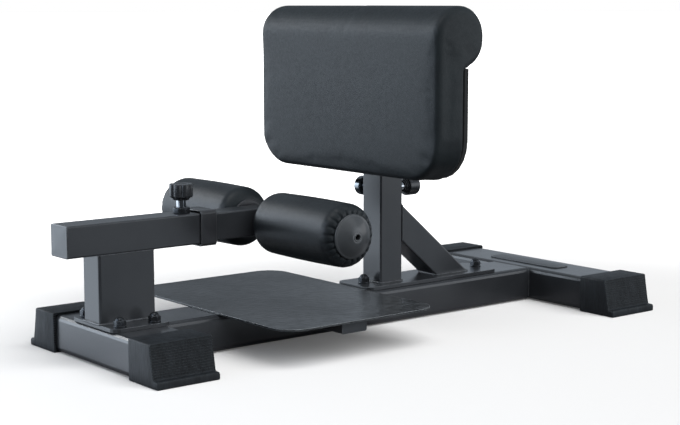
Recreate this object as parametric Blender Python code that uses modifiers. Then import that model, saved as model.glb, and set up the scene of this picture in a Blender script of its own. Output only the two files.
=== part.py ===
"""Sissy squat bench, built piece by piece.

The bench stands on the floor at z = 0.  +X points from the foot arm at the front to the long
crossbar at the rear, and +Y to the right of a person who stands on the footplate and faces the arm.
Inside the script every X is measured from the front face of the upright.  One empty, bench_origin,
carries all the pieces and puts the middle of the whole bench at x = 0.
Sizes are in metres.
"""
import math

import bmesh
import bpy
import numpy as np
from mathutils import Matrix, Vector

# Fits between pieces
GAP = 0.0003                      # between two pieces that touch
SLIDE_CLEARANCE = 0.0005          # round each sliding tube, on every side
HOLE_CLEARANCE = 0.0005           # round a bolt or pin in its hole, on the radius

# Base beams
BEAM_WIDTH = 0.100
BEAM_HEIGHT = 0.060
BEAM_WALL = 0.003
BEAM_CORNER = 0.008
FRONT_BAR_X = -0.515              # middle of the front crossbar
REAR_BAR_X = 0.3985               # middle of the rear crossbar
FRONT_BAR_LENGTH = 0.325
REAR_BAR_LENGTH = 0.462

# Rubber end caps on the crossbars
FOOT_SOLE = 0.0012
FOOT_SIDE_WALL = 0.0052
FOOT_TOP_WALL = 0.0034
FOOT_GRIP = 0.0467                # how far a cap reaches back over its crossbar
FOOT_END_WALL = 0.0125            # at the top, above the slope
FOOT_SLOPE = 0.0095
FOOT_LIP = 0.0112
FOOT_LIP_HEIGHT = 0.012
FOOT_EDGE = 0.0015

# Post that carries the foot arm
POST_LENGTH = 0.100
POST_WIDTH = 0.050
POST_WALL = 0.003
POST_CORNER = 0.0036
POST_PLATE_LENGTH = 0.1035
POST_PLATE_WIDTH = 0.134
POST_PLATE_THICKNESS = 0.006
POST_PLATE_CORNER = 0.012
POST_BOLT_SPACING_X = 0.062
POST_BOLT_SPACING_Y = 0.104

# Foot arm, its end plug and its guide collar
ARM_Z = 0.201                     # height of the arm's middle
ARM_SIZE = 0.050
ARM_WALL = 0.002
ARM_CORNER = 0.0027
ARM_LENGTH = 0.255
ARM_OVERHANG = 0.0545             # in front of the post
PLUG_FLANGE = 0.002
PLUG_DEPTH = 0.012
PLUG_WALL = 0.002
COLLAR_SIZE = 0.058
COLLAR_CORNER = 0.006
COLLAR_LENGTH = 0.0297
COLLAR_OVERLAP = 0.0147           # how far it reaches back over the arm

# Sliding tube and the axle of the foot rollers
SLIDE_WALL = 0.002
SLIDE_CORNER = 0.0024
SLIDE_END_CLEARANCE = 0.005       # to the arm's plug when the slide is pushed fully in
ARM_TO_AXLE = 0.1225              # from the arm's rear end, with the slide at its rest position
AXLE_RADIUS = 0.008
AXLE_LENGTH = 0.4766
AXLE_TO_SLIDE_END = 0.026
SPACER_RADIUS = 0.013
AXLE_SCREW_HEAD_RADIUS = 0.0065
AXLE_SCREW_HEAD = 0.005
AXLE_SCREW_LENGTH = 0.020
AXLE_SCREW_RADIUS = 0.004
AXLE_WASHER_RADIUS = 0.0110
AXLE_WASHER = 0.0016

# Foot rollers
ROLLER_RADIUS = 0.0505
ROLLER_START = 0.0363             # from the bench's middle plane to the roller's inner end
ROLLER_LENGTH = 0.2057
ROLLER_EDGE = 0.020
ROLLER_CORE_WALL = 0.003
ROLLER_CROWN = 0.001
ROLLER_FLANGE_RADIUS = 0.031
ROLLER_FLANGE = 0.0030
ROLLER_CAP_RADIUS = 0.035
ROLLER_CAP_DOME = 0.0138
ROLLER_CAP_WALL = 0.0025
ROLLER_CAP_HOLE = 0.0045          # radius of the hole in the middle of the cap

# Footplate and the bars that carry it
FOOTPLATE_LENGTH = 0.314
FOOTPLATE_WIDTH = 0.462
FOOTPLATE_THICKNESS = 0.003
FOOTPLATE_CORNER = 0.040
FOOTPLATE_TO_UPRIGHT_PLATE = 0.003
OUTRIGGER_LENGTH = 0.050
OUTRIGGER_HEIGHT = 0.018
OUTRIGGER_WALL = 0.002
OUTRIGGER_CORNER = 0.003
OUTRIGGER_INSET = 0.009           # from the edge of the footplate
OUTRIGGER_FRONT = 0.115           # from the front edge of the footplate

# Upright, its plate and its brace
UPRIGHT_SIZE = 0.050
UPRIGHT_WALL = 0.002
UPRIGHT_CORNER = 0.0027
UPRIGHT_TOP = 0.262
UPRIGHT_PLATE_FRONT = 0.044       # in front of the upright
UPRIGHT_PLATE_LENGTH = 0.314
UPRIGHT_PLATE_WIDTH = 0.089
UPRIGHT_PLATE_THICKNESS = 0.006
UPRIGHT_PLATE_CORNER = 0.012
UPRIGHT_FRONT_BOLT = 0.018        # in front of the upright
UPRIGHT_REAR_BOLT = 0.015         # from the rear edge of the plate
BRACE_SIZE = 0.050
BRACE_WALL = 0.002
BRACE_CORNER = 0.0027
BRACE_TOP = 0.2045                # where its upper face meets the upright
BRACE_ANGLE = math.radians(40.3)

# Bare plate on the rear crossbar
BADGE_LENGTH = 0.178
BADGE_WIDTH = 0.040
BADGE_THICKNESS = 0.0018
BADGE_CORNER = 0.010

# Bolts with cap nuts
BOLT_RADIUS = 0.005
BOLT_HEAD_RADIUS = 0.0092
BOLT_HEAD = 0.0045
WASHER_RADIUS = 0.0102
WASHER_THICKNESS = 0.0020
CAP_NUT_ACROSS = 0.017
CAP_NUT_HEX = 0.0082
CAP_NUT_HEIGHT = 0.0138
CAP_NUT_DOME_RADIUS = 0.0074

# Spring-loaded lock pins
PIN_RADIUS = 0.005
PIN_REACH = 0.0023                # past the wall that it locks
PIN_SHOULDER = 0.006
ROD_RADIUS = 0.003
PIN_BODY_RADIUS = 0.008
PIN_BODY_TOP = 0.032
PIN_BODY_CAP = 0.003
WELD_NUT_RADIUS = 0.014
WELD_NUT_HEIGHT = 0.0096
SPRING_WIRE = 0.0010
SPRING_RADIUS = 0.0042            # of the wire's centre line
SPRING_TURNS = 6
TOP_PIN_FROM_ARM_END = 0.034
TOP_KNOB_START = 0.021
TOP_KNOB_HEIGHT = 0.026
TOP_KNOB_RADIUS = 0.0195
TOP_KNOB_FLUTE = 0.0028
TOP_KNOB_LOBES = 8
REAR_PIN_DROP = 0.028             # below the top of the upright
REAR_KNOB_START = 0.0205
REAR_KNOB_NECK = 0.0065
REAR_KNOB_LENGTH = 0.031          # with its neck
REAR_KNOB_RADIUS = 0.0173
REAR_KNOB_FOOT_EDGE = 0.002
REAR_KNOB_END_EDGE = 0.006
KNOB_ROD_DEPTH = 0.010            # how far a lock pin's rod reaches into its knob past the body
LOCK_PITCH = 0.020                # between the lock holes of a sliding tube
LOCK_HOLES = 7

# Clamp screw on the side of the upright
CLAMP_RADIUS = 0.005
CLAMP_NUT_RADIUS = 0.011
CLAMP_NUT_HEIGHT = 0.008
CLAMP_HUB_START = 0.012
CLAMP_HUB_RADIUS = 0.0095
CLAMP_KNOB_START = 0.020
CLAMP_KNOB_END = 0.035
CLAMP_KNOB_RADIUS = 0.0173
CLAMP_KNOB_EDGE = 0.0035

# Calf pad, its board and its post
PAD_OVER_UPRIGHT = 0.004
PAD_HEIGHT = 0.2905
PAD_HALF_WIDTH = 0.243
PAD_THICKNESS = 0.069             # cushion and board
PAD_ROLL_RADIUS = 0.0515
PAD_ROLL_BACK = 0.0395            # how far the roll stands behind the board
PAD_CORNER = 0.070
PAD_EDGE = 0.011
PAD_BACK_EDGE = 0.004
PAD_CROWN = 0.003
BOARD_THICKNESS = 0.008
BOARD_INSET = 0.002
BOARD_TOP_GAP = 0.0015            # under the roll
PAD_POST_WALL = 0.002
PAD_POST_CORNER = 0.0024
PAD_POST_BELOW = 0.182            # below the top of the upright
PAD_POST_ABOVE = 0.186            # above the top of the upright
BRACKET_LEG = 0.036
BRACKET_FLANGE = 0.060
BRACKET_THICKNESS = 0.004
BRACKET_HEIGHT = 0.110
BRACKET_ABOVE = 0.072             # above the top of the upright
PAD_SCREW_RADIUS = 0.003
PAD_SCREW_MARGIN = 0.018          # from the ends of the bracket's flange

# Facets
HOLE_STEPS = 12
BOLT_STEPS = 12
SMALL_STEPS = 16
ROUND_STEPS = 20
WIDE_STEPS = 32
CORNER_STEPS = 3

# Heights and places that follow from the sizes above
BEAM_BOTTOM = FOOT_SOLE + GAP
BEAM_TOP = BEAM_BOTTOM + BEAM_HEIGHT
BEAM_Z = BEAM_BOTTOM + BEAM_HEIGHT / 2
SEAT_Z = BEAM_TOP + GAP           # underside of every plate on the beams
FOOT_LENGTH = FOOT_GRIP + GAP + FOOT_END_WALL + FOOT_SLOPE + FOOT_LIP
ARM_FRONT_X = FRONT_BAR_X - POST_LENGTH / 2 - ARM_OVERHANG
ARM_END_X = ARM_FRONT_X + ARM_LENGTH
TOP_PIN_X = ARM_END_X - TOP_PIN_FROM_ARM_END
AXLE_X = ARM_END_X + ARM_TO_AXLE
SLIDE_SIZE = ARM_SIZE - 2 * (ARM_WALL + SLIDE_CLEARANCE)
SLIDE_END_X = AXLE_X + AXLE_TO_SLIDE_END
SLIDE_FRONT_X = ARM_FRONT_X + PLUG_FLANGE + PLUG_DEPTH + LOCK_PITCH + SLIDE_END_CLEARANCE
UPRIGHT_X = UPRIGHT_SIZE / 2
BOLT_HOLE = BOLT_RADIUS + HOLE_CLEARANCE
PIN_HOLE = PIN_RADIUS + HOLE_CLEARANCE
REAR_PIN_Z = UPRIGHT_TOP - REAR_PIN_DROP
PAD_POST_SIZE = UPRIGHT_SIZE - 2 * (UPRIGHT_WALL + SLIDE_CLEARANCE)
PAD_BACK_X = UPRIGHT_X - PAD_POST_SIZE / 2 - GAP
PAD_FRONT_X = PAD_BACK_X - PAD_THICKNESS
PAD_BOTTOM = UPRIGHT_TOP + PAD_OVER_UPRIGHT
PAD_TOP = PAD_BOTTOM + PAD_HEIGHT
ROLL_Z = PAD_TOP - PAD_ROLL_RADIUS
ROLL_X = PAD_BACK_X + PAD_ROLL_BACK - PAD_ROLL_RADIUS
PLATE_REAR_X = UPRIGHT_PLATE_LENGTH - UPRIGHT_PLATE_FRONT
FOOTPLATE_REAR_X = -UPRIGHT_PLATE_FRONT - FOOTPLATE_TO_UPRIGHT_PLATE
FOOTPLATE_X = FOOTPLATE_REAR_X - FOOTPLATE_LENGTH / 2
REAR_END_X = REAR_BAR_X + BEAM_WIDTH / 2 + GAP + FOOT_SIDE_WALL
MIDDLE_X = (ARM_FRONT_X + REAR_END_X) / 2


def clear_scene():
    for item in list(bpy.data.objects):
        bpy.data.objects.remove(item, do_unlink=True)


def new_collection(name):
    group = bpy.data.collections.new(name)
    bpy.context.scene.collection.children.link(group)
    return group


def surface(name, colour, roughness, metallic=0.0):
    """A Principled material with one colour."""
    made = bpy.data.materials.new(name)
    made.use_nodes = True
    shader = made.node_tree.nodes["Principled BSDF"]
    shader.inputs["Base Color"].default_value = (*colour, 1.0)
    shader.inputs["Roughness"].default_value = roughness
    shader.inputs["Metallic"].default_value = metallic
    made.diffuse_color = (*colour, 1.0)
    return made


clear_scene()
PARTS = new_collection("sissy_squat_bench")
CUTTERS = new_collection("cutters")

POWDER_COAT = surface("powder_coat", (0.030, 0.032, 0.035), 0.45)
GRIP_COAT = surface("grip_coat", (0.042, 0.045, 0.048), 0.65)
RUBBER = surface("rubber", (0.018, 0.020, 0.022), 0.75)
BLACK_PLASTIC = surface("black_plastic", (0.012, 0.013, 0.014), 0.40)
CHROME = surface("chrome", (0.62, 0.63, 0.65), 0.12, 1.0)
ZINC_STEEL = surface("zinc_steel", (0.42, 0.43, 0.45), 0.32, 1.0)
BLACK_STEEL = surface("black_steel", (0.035, 0.036, 0.038), 0.35, 0.8)
SPRING_STEEL = surface("spring_steel", (0.30, 0.31, 0.33), 0.30, 1.0)
VINYL = surface("vinyl", (0.022, 0.025, 0.028), 0.50)
BOARD = surface("board", (0.016, 0.017, 0.018), 0.70)


def empty(name, place, parent=None, turn=None):
    """An empty at a place given in the bench's own X, Y and Z."""
    made = bpy.data.objects.new(name, None)
    PARTS.objects.link(made)
    matrix = Matrix.Translation(Vector(place))
    if turn is not None:
        matrix = matrix @ turn
    if parent is not None:
        made.parent = parent
        matrix = reach(parent).inverted() @ matrix
    made.matrix_basis = matrix
    return made


def reach(item):
    """Where an object lies in the bench's own X, Y and Z, through its parents."""
    matrix = item.matrix_basis.copy()
    while item.parent is not None and item.parent.name != "bench_origin":
        item = item.parent
        matrix = item.matrix_basis @ matrix
    if item.name == "bench_origin":
        return Matrix.Identity(4)
    return matrix


BENCH = empty("bench_origin", (-MIDDLE_X, 0.0, 0.0))


def put(item, material, parent, place=(0.0, 0.0, 0.0), turn=None):
    """Give a piece its material and parent, and place it in the parent's own frame."""
    item.data.materials.clear()
    item.data.materials.append(material)
    item.parent = parent
    matrix = Matrix.Translation(Vector(place))
    if turn is not None:
        matrix = matrix @ turn
    item.matrix_basis = matrix
    return item


def along(axis):
    """The turn that takes local +Z to a world axis."""
    return Vector((0.0, 0.0, 1.0)).rotation_difference(Vector(axis)).to_matrix().to_4x4()


# A tube's outline is drawn in local X and Y, and this turn lays its length along the world's X,
# with the outline's X along the world's Y and the outline's Y along the world's Z.
LENGTH_ALONG_X = Matrix(((0, 0, 1, 0), (1, 0, 0, 0), (0, 1, 0, 0), (0, 0, 0, 1)))
# The same with the length along the world's -Y and the outline's X along the world's X.
LENGTH_ALONG_Y = Matrix(((1, 0, 0, 0), (0, 0, -1, 0), (0, 1, 0, 0), (0, 0, 0, 1)))
# A tool laid along its own Z is turned by this to bore through the top face of a tube laid either way.
TOP_FACE = Matrix.Rotation(-math.pi / 2, 4, "X")


def mesh_object(name, mesh, collection=None):
    made = bpy.data.objects.new(name, mesh)
    (collection or PARTS).objects.link(made)
    return made


def shade_round(mesh):
    mesh.shade_smooth()
    mesh.set_sharp_from_angle(angle=math.radians(35))


def rounded_rectangle(width, height, corner, steps=CORNER_STEPS):
    """Points of a rectangle round the origin whose corners are arcs."""
    points = []
    for quarter, (side_x, side_y) in enumerate(((1, 1), (-1, 1), (-1, -1), (1, -1))):
        centre_x = side_x * (width / 2 - corner)
        centre_y = side_y * (height / 2 - corner)
        for step in range(steps + 1):
            angle = math.pi / 2 * (quarter + step / steps)
            points.append((centre_x + corner * math.cos(angle), centre_y + corner * math.sin(angle)))
    return points


def circle(radius, centre=(0.0, 0.0), steps=HOLE_STEPS):
    """Points of a circle."""
    angles = [2 * math.pi * step / steps for step in range(steps)]
    return [(centre[0] + radius * math.cos(a), centre[1] + radius * math.sin(a)) for a in angles]


def extruded(name, loops, thickness, collection=None):
    """A flat outline with its holes, thickened about z = 0 and made a closed mesh."""
    curve = bpy.data.curves.new(name, "CURVE")
    curve.dimensions = "2D"
    curve.fill_mode = "BOTH"
    curve.extrude = thickness / 2
    for loop in loops:
        spline = curve.splines.new("POLY")
        spline.points.add(len(loop) - 1)
        for point, (x, y) in zip(spline.points, loop):
            point.co = (x, y, 0.0, 1.0)
        spline.use_cyclic_u = True
    return solid_from_curve(name, curve, collection)


def solid_from_curve(name, curve, collection=None):
    """The closed mesh of a curve, with its loose caps welded on."""
    drawn = bpy.data.objects.new(name + "_curve", curve)
    PARTS.objects.link(drawn)
    graph = bpy.context.evaluated_depsgraph_get()
    mesh = bpy.data.meshes.new_from_object(drawn.evaluated_get(graph))
    bpy.data.objects.remove(drawn)
    mesh.name = name
    shape = bmesh.new()
    shape.from_mesh(mesh)
    bmesh.ops.remove_doubles(shape, verts=shape.verts, dist=0.00001)
    bmesh.ops.recalc_face_normals(shape, faces=shape.faces)
    shape.to_mesh(mesh)
    shape.free()
    shade_round(mesh)
    return mesh_object(name, mesh, collection)


def square_tube(name, width, height, wall, corner, length, collection=None):
    """A rectangular tube with rounded corners, its length along local Z."""
    outer = rounded_rectangle(width, height, corner)
    inner_corner = max(corner - wall, corner / 4)
    inner = rounded_rectangle(width - 2 * wall, height - 2 * wall, inner_corner)
    return extruded(name, [outer, inner], length, collection)


def turned(name, profile, steps=ROUND_STEPS, closed=False, collection=None):
    """A profile of (radius, height) points turned round local Z.

    An open profile starts and ends on the axis.  A closed one is a ring.
    The outer side runs from top to bottom.
    """
    mesh = bpy.data.meshes.new(name)
    points = [(radius, 0.0, height) for radius, height in profile]
    edges = [(i, i + 1) for i in range(len(points) - 1)]
    if closed:
        edges.append((len(points) - 1, 0))
    mesh.from_pydata(points, edges, [])
    made = mesh_object(name, mesh, collection)
    screw = made.modifiers.new("Turn", "SCREW")
    screw.axis = "Z"
    screw.angle = 2 * math.pi
    screw.steps = steps
    screw.render_steps = steps
    screw.use_merge_vertices = True
    screw.merge_threshold = 0.00001
    screw.use_smooth_shade = True
    graph = bpy.context.evaluated_depsgraph_get()
    solid = bpy.data.meshes.new_from_object(made.evaluated_get(graph))
    solid.name = name
    made.modifiers.clear()
    made.data = solid
    bpy.data.meshes.remove(mesh)
    shade_round(solid)
    return made


def ring(name, outer, inner, low, high, steps=ROUND_STEPS, collection=None):
    """A plain ring or bush between two heights."""
    profile = [(outer, high), (outer, low), (inner, low), (inner, high)]
    return turned(name, profile, steps, closed=True, collection=collection)


def rod(name, radius, low, high, steps=ROUND_STEPS, collection=None):
    """A plain round bar between two heights."""
    profile = [(0.0, high), (radius, high), (radius, low), (0.0, low)]
    return turned(name, profile, steps, collection=collection)


def lofted(name, rings, collection=None):
    """A closed skin over a list of rings with equal counts, its two ends filled."""
    count = len(rings[0])
    points = [point for outline in rings for point in outline]
    faces = []
    for row in range(len(rings) - 1):
        for step in range(count):
            following = (step + 1) % count
            near, far = row * count, (row + 1) * count
            faces.append((near + step, near + following, far + following, far + step))
    faces.append(tuple(range(count)))
    faces.append(tuple(range(len(points) - count, len(points))))
    mesh = bpy.data.meshes.new(name)
    mesh.from_pydata(points, [], faces)
    shape = bmesh.new()
    shape.from_mesh(mesh)
    bmesh.ops.recalc_face_normals(shape, faces=shape.faces)
    shape.to_mesh(mesh)
    shape.free()
    shade_round(mesh)
    return mesh_object(name, mesh, collection)


def block(name, low, high, collection=None):
    """A box between two corners."""
    mesh = bpy.data.meshes.new(name)
    shape = bmesh.new()
    bmesh.ops.create_cube(shape, size=1.0)
    size = Vector(high) - Vector(low)
    middle = (Vector(high) + Vector(low)) / 2
    bmesh.ops.scale(shape, vec=size, verts=shape.verts)
    bmesh.ops.translate(shape, vec=middle, verts=shape.verts)
    shape.to_mesh(mesh)
    shape.free()
    return mesh_object(name, mesh, collection)


def cut(item, *cutters):
    """Take cutters away from a piece.  Each cutter lies in the piece's own frame."""
    for cutter in cutters:
        cutter.parent = item
        cutter.hide_render = True
        cutter.display_type = "WIRE"
        remove = item.modifiers.new("Cut", "BOOLEAN")
        remove.operation = "DIFFERENCE"
        remove.solver = "EXACT"
        remove.object = cutter
    return item


def drill(name, radius, low, high, places, turn=Matrix.Identity(4), steps=HOLE_STEPS):
    """One cutter that bores a round hole at each place, between two heights along its turned Z."""
    tool = rod(name, radius, low, high, steps, CUTTERS)
    shape = bmesh.new()
    for place in places:
        copy = tool.data.copy()
        copy.transform(Matrix.Translation(Vector(place)) @ turn)
        shape.from_mesh(copy)
        bpy.data.meshes.remove(copy)
    shape.to_mesh(tool.data)
    shape.free()
    return tool


# Base frame of three beams
POST_BOLTS = [(x * POST_BOLT_SPACING_X / 2, y * POST_BOLT_SPACING_Y / 2) for x in (-1, 1) for y in (-1, 1)]
UPRIGHT_BOLTS = [-UPRIGHT_FRONT_BOLT, PLATE_REAR_X - UPRIGHT_REAR_BOLT]


def make_base():
    """The main beam along X and the two crossbars that it is welded to."""
    front = FRONT_BAR_X + BEAM_WIDTH / 2 + GAP
    rear = REAR_BAR_X - BEAM_WIDTH / 2 - GAP
    main_beam = square_tube("main_beam", BEAM_WIDTH, BEAM_HEIGHT, BEAM_WALL, BEAM_CORNER, rear - front)
    middle = (front + rear) / 2
    put(main_beam, POWDER_COAT, BENCH, (middle, 0.0, BEAM_Z), LENGTH_ALONG_X)
    low = BEAM_HEIGHT / 2 - 2 * BEAM_WALL
    high = BEAM_HEIGHT / 2 + BEAM_WALL
    places = [(0.0, 0.0, x - middle) for x in UPRIGHT_BOLTS]
    cut(main_beam, drill("main_beam_holes", BOLT_HOLE, low, high, places, TOP_FACE))

    for name, x, length in (("front_crossbar", FRONT_BAR_X, FRONT_BAR_LENGTH),
                            ("rear_crossbar", REAR_BAR_X, REAR_BAR_LENGTH)):
        bar = square_tube(name, BEAM_WIDTH, BEAM_HEIGHT, BEAM_WALL, BEAM_CORNER, length)
        put(bar, POWDER_COAT, BENCH, (x, 0.0, BEAM_Z), LENGTH_ALONG_Y)
        if name == "front_crossbar":
            places = [(x_offset, 0.0, -y) for x_offset, y in POST_BOLTS]
            cut(bar, drill(name + "_holes", BOLT_HOLE, low, high, places, TOP_FACE))


def make_foot(name, bar_x, bar_length, side):
    """A rubber cap pushed over one end of a crossbar, with a sloped end and a lip along the floor."""
    top = BEAM_TOP + GAP + FOOT_TOP_WALL
    width = BEAM_WIDTH + 2 * (GAP + FOOT_SIDE_WALL)
    slope_start = FOOT_LENGTH - FOOT_LIP
    profile = [(0.0, 0.0), (FOOT_LENGTH, 0.0), (FOOT_LENGTH, FOOT_LIP_HEIGHT),
               (slope_start - FOOT_SLOPE * FOOT_LIP_HEIGHT / top, FOOT_LIP_HEIGHT),
               (slope_start - FOOT_SLOPE, top), (0.0, top)]
    foot = extruded(name, [profile], width)
    bevel = foot.modifiers.new("Soft edges", "BEVEL")
    bevel.width = FOOT_EDGE
    bevel.segments = 2
    bevel.limit_method = "ANGLE"
    bevel.angle_limit = math.radians(40)
    # local X runs outwards along the crossbar, local Y up and local Z across
    hollow = block(name + "_hollow",
                   (-0.010, FOOT_SOLE, -BEAM_WIDTH / 2 - GAP),
                   (FOOT_GRIP + GAP, BEAM_TOP + GAP, BEAM_WIDTH / 2 + GAP), CUTTERS)
    cut(foot, hollow)
    outward = Vector((0.0, side, 0.0))
    up = Vector((0.0, 0.0, 1.0))
    turn = Matrix((outward, up, outward.cross(up))).transposed().to_4x4()
    mouth = bar_length / 2 - FOOT_GRIP
    put(foot, RUBBER, BENCH, (bar_x, side * mouth, 0.0), turn)


def make_bolt(name, x, y, plate_thickness):
    """A bolt from inside a beam up through its plate, with a washer and a cap nut, as one solid."""
    head_top = BEAM_TOP - BEAM_WALL - GAP
    washer_low = SEAT_Z + plate_thickness + GAP
    nut_low = washer_low + WASHER_THICKNESS
    turn = np.linspace(0.0, 2 * math.pi, BOLT_STEPS, endpoint=False)
    fold = (turn + math.pi / 6) % (math.pi / 3) - math.pi / 6
    hexagon = CAP_NUT_ACROSS / 2 / np.cos(fold)
    hex_top = nut_low + CAP_NUT_HEX
    levels = [(BOLT_HEAD_RADIUS, head_top - BOLT_HEAD), (BOLT_HEAD_RADIUS, head_top),
              (BOLT_RADIUS, head_top), (BOLT_RADIUS, washer_low),
              (WASHER_RADIUS, washer_low), (WASHER_RADIUS, nut_low),
              (hexagon * 0.95, nut_low), (hexagon, nut_low + 0.1 * CAP_NUT_HEX), (hexagon, hex_top)]
    for step in range(4):
        angle = math.radians(80) * step / 3
        rise = (CAP_NUT_HEIGHT - CAP_NUT_HEX) * math.sin(angle)
        levels.append((CAP_NUT_DOME_RADIUS * math.cos(angle), hex_top + rise))
    rings = []
    for radius, height in levels:
        rows = np.column_stack((radius * np.cos(turn), radius * np.sin(turn), np.full(BOLT_STEPS, height)))
        rings.append([tuple(row) for row in rows])
    put(lofted(name, rings), BLACK_STEEL, BENCH, (x, y, 0.0))


def make_post():
    """The short wide post, the plate that it is welded to, and the bolts that hold the plate."""
    plate_top = SEAT_Z + POST_PLATE_THICKNESS
    # the plate is flush with the post in front and reaches past it behind
    shift = (POST_PLATE_LENGTH - POST_LENGTH) / 2
    holes = [circle(BOLT_HOLE, (x - shift, y)) for x, y in POST_BOLTS]
    outline = rounded_rectangle(POST_PLATE_LENGTH, POST_PLATE_WIDTH, POST_PLATE_CORNER)
    plate = extruded("front_post_plate", [outline] + holes, POST_PLATE_THICKNESS)
    put(plate, POWDER_COAT, BENCH, (FRONT_BAR_X + shift, 0.0, SEAT_Z + POST_PLATE_THICKNESS / 2))
    low = plate_top + GAP
    high = ARM_Z - ARM_SIZE / 2 - GAP
    post = square_tube("front_post", POST_LENGTH, POST_WIDTH, POST_WALL, POST_CORNER, high - low)
    put(post, POWDER_COAT, BENCH, (FRONT_BAR_X, 0.0, (low + high) / 2))
    for x, y in POST_BOLTS:
        end = "front" if x < 0 else "rear"
        side = "left" if y < 0 else "right"
        make_bolt(f"post_bolt_{end}_{side}", FRONT_BAR_X + x, y, POST_PLATE_THICKNESS)


def tube_plug(name, size, wall, corner):
    """A plug for the end of a square tube: a flange flush with the tube and a hollow stub inside it.

    The flange's outer face lies at local z = 0 and the stub points down.
    """
    flange = rounded_rectangle(size, size, corner)
    plug = extruded(name, [flange], PLUG_FLANGE + PLUG_DEPTH)
    drop = (PLUG_FLANGE + PLUG_DEPTH) / 2
    plug.data.transform(Matrix.Translation((0.0, 0.0, -drop)))
    stub = size - 2 * (wall + GAP)
    inner_corner = max(corner - wall, corner / 4)
    far = rounded_rectangle(2 * size, 2 * size, inner_corner)
    near = rounded_rectangle(stub, stub, inner_corner)
    around = extruded(name + "_around", [far, near], PLUG_DEPTH + GAP, CUTTERS)
    around.data.transform(Matrix.Translation((0.0, 0.0, -PLUG_FLANGE - (PLUG_DEPTH + GAP) / 2)))
    room = stub - 2 * PLUG_WALL
    hollow = block(name + "_hollow", (-room / 2, -room / 2, -PLUG_FLANGE - PLUG_DEPTH - GAP),
                   (room / 2, room / 2, -PLUG_FLANGE), CUTTERS)
    return cut(plug, around, hollow)


def make_arm():
    """The fixed square tube on the post, its front plug and the guide collar on its open end."""
    start = ARM_FRONT_X + PLUG_FLANGE + GAP
    arm = square_tube("arm_tube", ARM_SIZE, ARM_SIZE, ARM_WALL, ARM_CORNER, ARM_END_X - start)
    middle = (start + ARM_END_X) / 2
    put(arm, POWDER_COAT, BENCH, (middle, 0.0, ARM_Z), LENGTH_ALONG_X)
    half = ARM_SIZE / 2
    spot = [(0.0, 0.0, TOP_PIN_X - middle)]
    cut(arm, drill("arm_pin_hole", PIN_HOLE, half - 2 * ARM_WALL, half + ARM_WALL, spot, TOP_FACE))

    plug = tube_plug("arm_end_plug", ARM_SIZE, ARM_WALL, ARM_CORNER)
    put(plug, BLACK_PLASTIC, BENCH, (ARM_FRONT_X, 0.0, ARM_Z), along((-1.0, 0.0, 0.0)))

    wall = (COLLAR_SIZE - SLIDE_SIZE) / 2 - GAP
    collar = square_tube("arm_collar", COLLAR_SIZE, COLLAR_SIZE, wall, COLLAR_CORNER, COLLAR_LENGTH)
    collar_middle = ARM_END_X - COLLAR_OVERLAP + COLLAR_LENGTH / 2
    put(collar, BLACK_PLASTIC, BENCH, (collar_middle, 0.0, ARM_Z), LENGTH_ALONG_X)
    seat = rounded_rectangle(ARM_SIZE + 2 * GAP, ARM_SIZE + 2 * GAP, ARM_CORNER)
    depth = COLLAR_OVERLAP + GAP
    pocket = extruded("arm_collar_seat", [seat], 2 * depth, CUTTERS)
    pocket.data.transform(Matrix.Translation((0.0, 0.0, -COLLAR_LENGTH / 2)))
    cut(collar, pocket)


def lock_pin_parts(prefix, seat, travel, wall_stack):
    """A weld nut, a threaded body, a spring and a pin, all round local Z from the tube's face at z = 0.

    wall_stack is the depth from the face to the far side of the wall that the pin locks.
    """
    nut = ring(prefix + "_weld_nut", WELD_NUT_RADIUS, PIN_BODY_RADIUS + GAP, GAP, WELD_NUT_HEIGHT)
    put(nut, BLACK_STEEL, seat)

    bore = PIN_RADIUS + GAP
    cap_low = PIN_BODY_TOP - PIN_BODY_CAP
    profile = [(PIN_BODY_RADIUS, PIN_BODY_TOP), (PIN_BODY_RADIUS, GAP), (bore, GAP), (bore, cap_low),
               (ROD_RADIUS + GAP, cap_low), (ROD_RADIUS + GAP, PIN_BODY_TOP)]
    body = turned(prefix + "_body", profile, closed=True)
    put(body, CHROME, seat)

    tip = -wall_stack - PIN_REACH
    bevel = PIN_RADIUS / 5
    rod_top = PIN_BODY_TOP + KNOB_ROD_DEPTH
    profile = [(0.0, rod_top), (ROD_RADIUS, rod_top), (ROD_RADIUS, PIN_SHOULDER),
               (PIN_RADIUS, PIN_SHOULDER), (PIN_RADIUS, tip + bevel), (PIN_RADIUS - bevel, tip), (0.0, tip)]
    pin = turned(prefix + "_plunger", profile, 16)
    put(pin, ZINC_STEEL, travel)

    low = PIN_SHOULDER + GAP + SPRING_WIRE / 2
    high = cap_low - GAP - SPRING_WIRE / 2
    spring = coil(prefix + "_spring", low, high)
    put(spring, SPRING_STEEL, seat)


def coil(name, low, high):
    """A compression spring: a helix of round wire with square-cut ends."""
    per_turn = 8
    count = SPRING_TURNS * per_turn
    turn = np.linspace(0.0, 2 * math.pi * SPRING_TURNS, count + 1)
    height = np.linspace(low, high, count + 1)
    points = np.column_stack((SPRING_RADIUS * np.cos(turn), SPRING_RADIUS * np.sin(turn), height))
    apart = np.linalg.norm(points[per_turn:] - points[:-per_turn], axis=1).min() - SPRING_WIRE
    print(f"{name}: least gap between turns {apart * 1000:.2f} mm")
    curve = bpy.data.curves.new(name, "CURVE")
    curve.dimensions = "3D"
    curve.bevel_depth = SPRING_WIRE / 2
    curve.bevel_resolution = 1
    curve.use_fill_caps = True
    spline = curve.splines.new("POLY")
    spline.points.add(count)
    for point, place in zip(spline.points, points):
        point.co = (*place, 1.0)
    return solid_from_curve(name, curve)


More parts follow.
